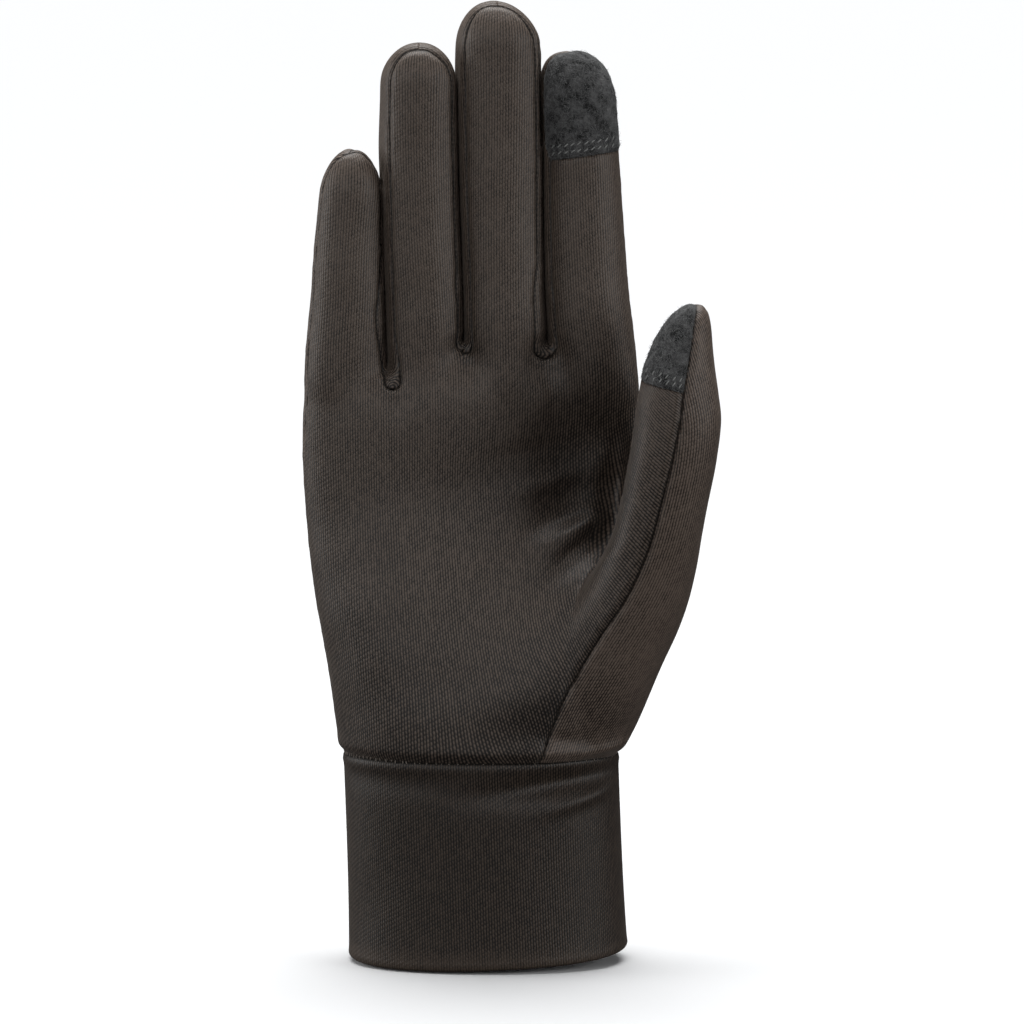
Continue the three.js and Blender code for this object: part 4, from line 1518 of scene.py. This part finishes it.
# %% Filaments
def filaments(pad, name, count, seed):
    mesh = pad.data
    middles = np.array([f.center[:] for f in mesh.polygons]) / MM
    normals = np.array([f.normal[:] for f in mesh.polygons])
    areas = np.array([f.area for f in mesh.polygons])
    outer = (normals * (middles - middles.mean(0))).sum(1) > 0
    outer &= normals[:, 1] < -0.25
    share = np.where(outer, areas, 0)
    chance = np.random.default_rng(seed)
    picked = chance.choice(len(areas), count, p=share / share.sum())
    corners, rings = [], []
    for k, i in enumerate(picked):
        n = normals[i]
        way = chance.normal(size=3)
        way -= (way @ n) * n
        way /= np.linalg.norm(way)
        side = np.cross(n, way)
        length = chance.uniform(0.6, 1.6)
        bend = chance.uniform(-0.5, 0.5)
        start = middles[i] + chance.uniform(-0.4, 0.4) * way
        line = [
            start - 0.1 * n,
            start + 0.35 * length * way + 0.16 * n,
            start + 0.7 * length * way + bend * 0.3 * side + 0.2 * n,
            start + length * way + bend * side + chance.uniform(-0.1, 0.35) * n,
        ]
        thick = [0.035, 0.03, 0.025, 0.01]
        first = len(corners)
        for point, r in zip(line, thick):
            for turn in (0, 2.09, 4.19):
                corners.append(point + r * (math.cos(turn) * side + math.sin(turn) * n))
        for level in range(3):
            for s in range(3):
                a, b = first + level * 3 + s, first + level * 3 + (s + 1) % 3
                rings.append((a, b, b + 3, a + 3))
        rings += [(first + 2, first + 1, first), (first + 9, first + 10, first + 11)]
    made = bpy.data.meshes.new(name)
    made.from_pydata((np.array(corners) * MM).tolist(), [], rings)
    made.materials.append(fibre)
    obj = bpy.data.objects.new(name, made)
    bpy.context.scene.collection.objects.link(obj)
    print(name, "has", count, "filaments")
    return obj


FILAMENTS = {"index": (2600, 31), "thumb": (1500, 32)}  # how many, and the seed
for digit, (many, seed) in FILAMENTS.items():
    name = digit + "_pad_filaments"
    extras[name] = filaments(panels[digit + "_pad_cloth"], name, many, seed)

# %% [markdown]
# ## What each piece stands for
# Every cloth piece replaces its CAD node and takes its material. Stitches and
# filaments only ride along.

# %% Ride, replace and give materials
STANDS_FOR = {
    "palm_cloth": ("palm_panel", "knit_cloth", knit_tricot),
    "back_cloth": ("back_panel", "knit_cloth", painted_light_back_tricot),
    "little_ring_fourchette": ("fourchette_little_ring", "knit_cloth", knit_tricot),
    "ring_middle_fourchette": ("fourchette_ring_middle", "knit_cloth", knit_tricot),
    "middle_index_fourchette": ("fourchette_middle_index", "knit_cloth", knit_tricot),
    "index_pad_cloth": ("index_touch_pad", "touch_pad", brushed_cloth),
    "thumb_pad_cloth": ("thumb_touch_pad", "touch_pad", brushed_cloth),
    "cuff_cloth": ("cuff", "cuff_cloth", painted_shade_cuff_tricot),
}
for name, (node, slot, material) in STANDS_FOR.items():
    piece = panels[name]
    piece.data.materials.clear()
    piece.data.materials.append(material)
    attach(piece, "root")
    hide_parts(node)
for piece in extras.values():
    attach(piece, "root")
CUT = {  # width, length and area of each flat cut in mm, before it is sewn and stretched
    "palm_cloth": (112, 176, 12500),
    "back_cloth": (124, 176, 17200),
    "little_ring_fourchette": (15.5, 134, 1450),
    "ring_middle_fourchette": (13.5, 158, 1720),
    "middle_index_fourchette": (13.5, 156, 1670),
    "index_pad_cloth": (23, 27.5, 560),
    "thumb_pad_cloth": (15.5, 17, 250),
    "cuff_cloth": (165, 98, None),
}
for name, (width, length, area) in CUT.items():
    area = None if area is None else area * MM**2
    print(name, "is cut flat", width, "by", length, "mm")
bpy.data.objects.remove(bar)
bpy.data.objects.remove(small)

# %% [markdown]
# ## Floor and light
# The photograph is a plain studio picture on white. A wide soft screen on the right and one
# on the left graze the palm, so that its hollow falls dark behind the thumb. A weak screen
# fills the front. A broad ceiling light from a little behind whitens the floor and throws
# the soft shadow towards the camera.

# %% Floor
bpy.ops.object.select_all(action="DESELECT")
bpy.ops.mesh.primitive_plane_add(size=1000, location=(0, 0, -0.0025))
floor = bpy.context.object
floor.name = "floor"
made, tree = new_material("white_paper_floor")
shader = add_node(
    tree, "BsdfPrincipled", {"Base Color": linear("#f6f7f8"), "Roughness": 0.9,
                             "Specular IOR Level": 0.1}
)
add_node(tree, "OutputMaterial", {"Surface": shader.outputs[0]})
floor.data.materials.append(made)
floor.visible_diffuse = False
floor.visible_glossy = False

# %% [markdown]
# ### Light
# The soft screens are area lamps on a sphere round the glove, and the ceiling is a sun with a
# wide angle, which throws the soft shadow. Their powers were chosen by comparing the palm,
# the thumb and the cuff with the photograph.

# %% Light
world = bpy.data.worlds.new("studio")
bpy.context.scene.world = world
world.use_nodes = True
world.node_tree.nodes["Background"].inputs["Color"].default_value = linear("#f2f4ff")
world.node_tree.nodes["Background"].inputs["Strength"].default_value = 0.03
GLOVE_MIDDLE = Vector((0, 0, 0.12))
SCREEN_SIZE, SCREEN_DISTANCE = 0.8, 1.6  # in metres


def screen(name, around, up, power):
    """A square soft screen: degrees right of the camera's side, degrees up."""
    data = bpy.data.lights.new(name, "AREA")
    data.shape = "SQUARE"
    data.size = SCREEN_SIZE
    data.energy = power
    made = bpy.data.objects.new(name, data)
    around, up = math.radians(around), math.radians(up)
    flat = Vector((math.sin(around), -math.cos(around), 0)) * math.cos(up)
    made.location = GLOVE_MIDDLE + SCREEN_DISTANCE * (flat + Vector((0, 0, math.sin(up))))
    made.rotation_euler = (GLOVE_MIDDLE - made.location).to_track_quat("-Z", "Y").to_euler()
    bpy.context.scene.collection.objects.link(made)


screen("right_screen", 62, 10, 7.6)
screen("left_screen", -95, 10, 9.0)
screen("front_fill", -20, 18, 5.3)
sun = bpy.data.lights.new("ceiling", "SUN")
sun.energy = 3.5
sun.angle = math.radians(62)
ceiling = bpy.data.objects.new("ceiling", sun)
ceiling.rotation_euler = (math.radians(-15), 0, 0)
bpy.context.scene.collection.objects.link(ceiling)
bpy.context.scene.view_settings.view_transform = "Standard"
print("Ceiling light of strength", sun.energy)
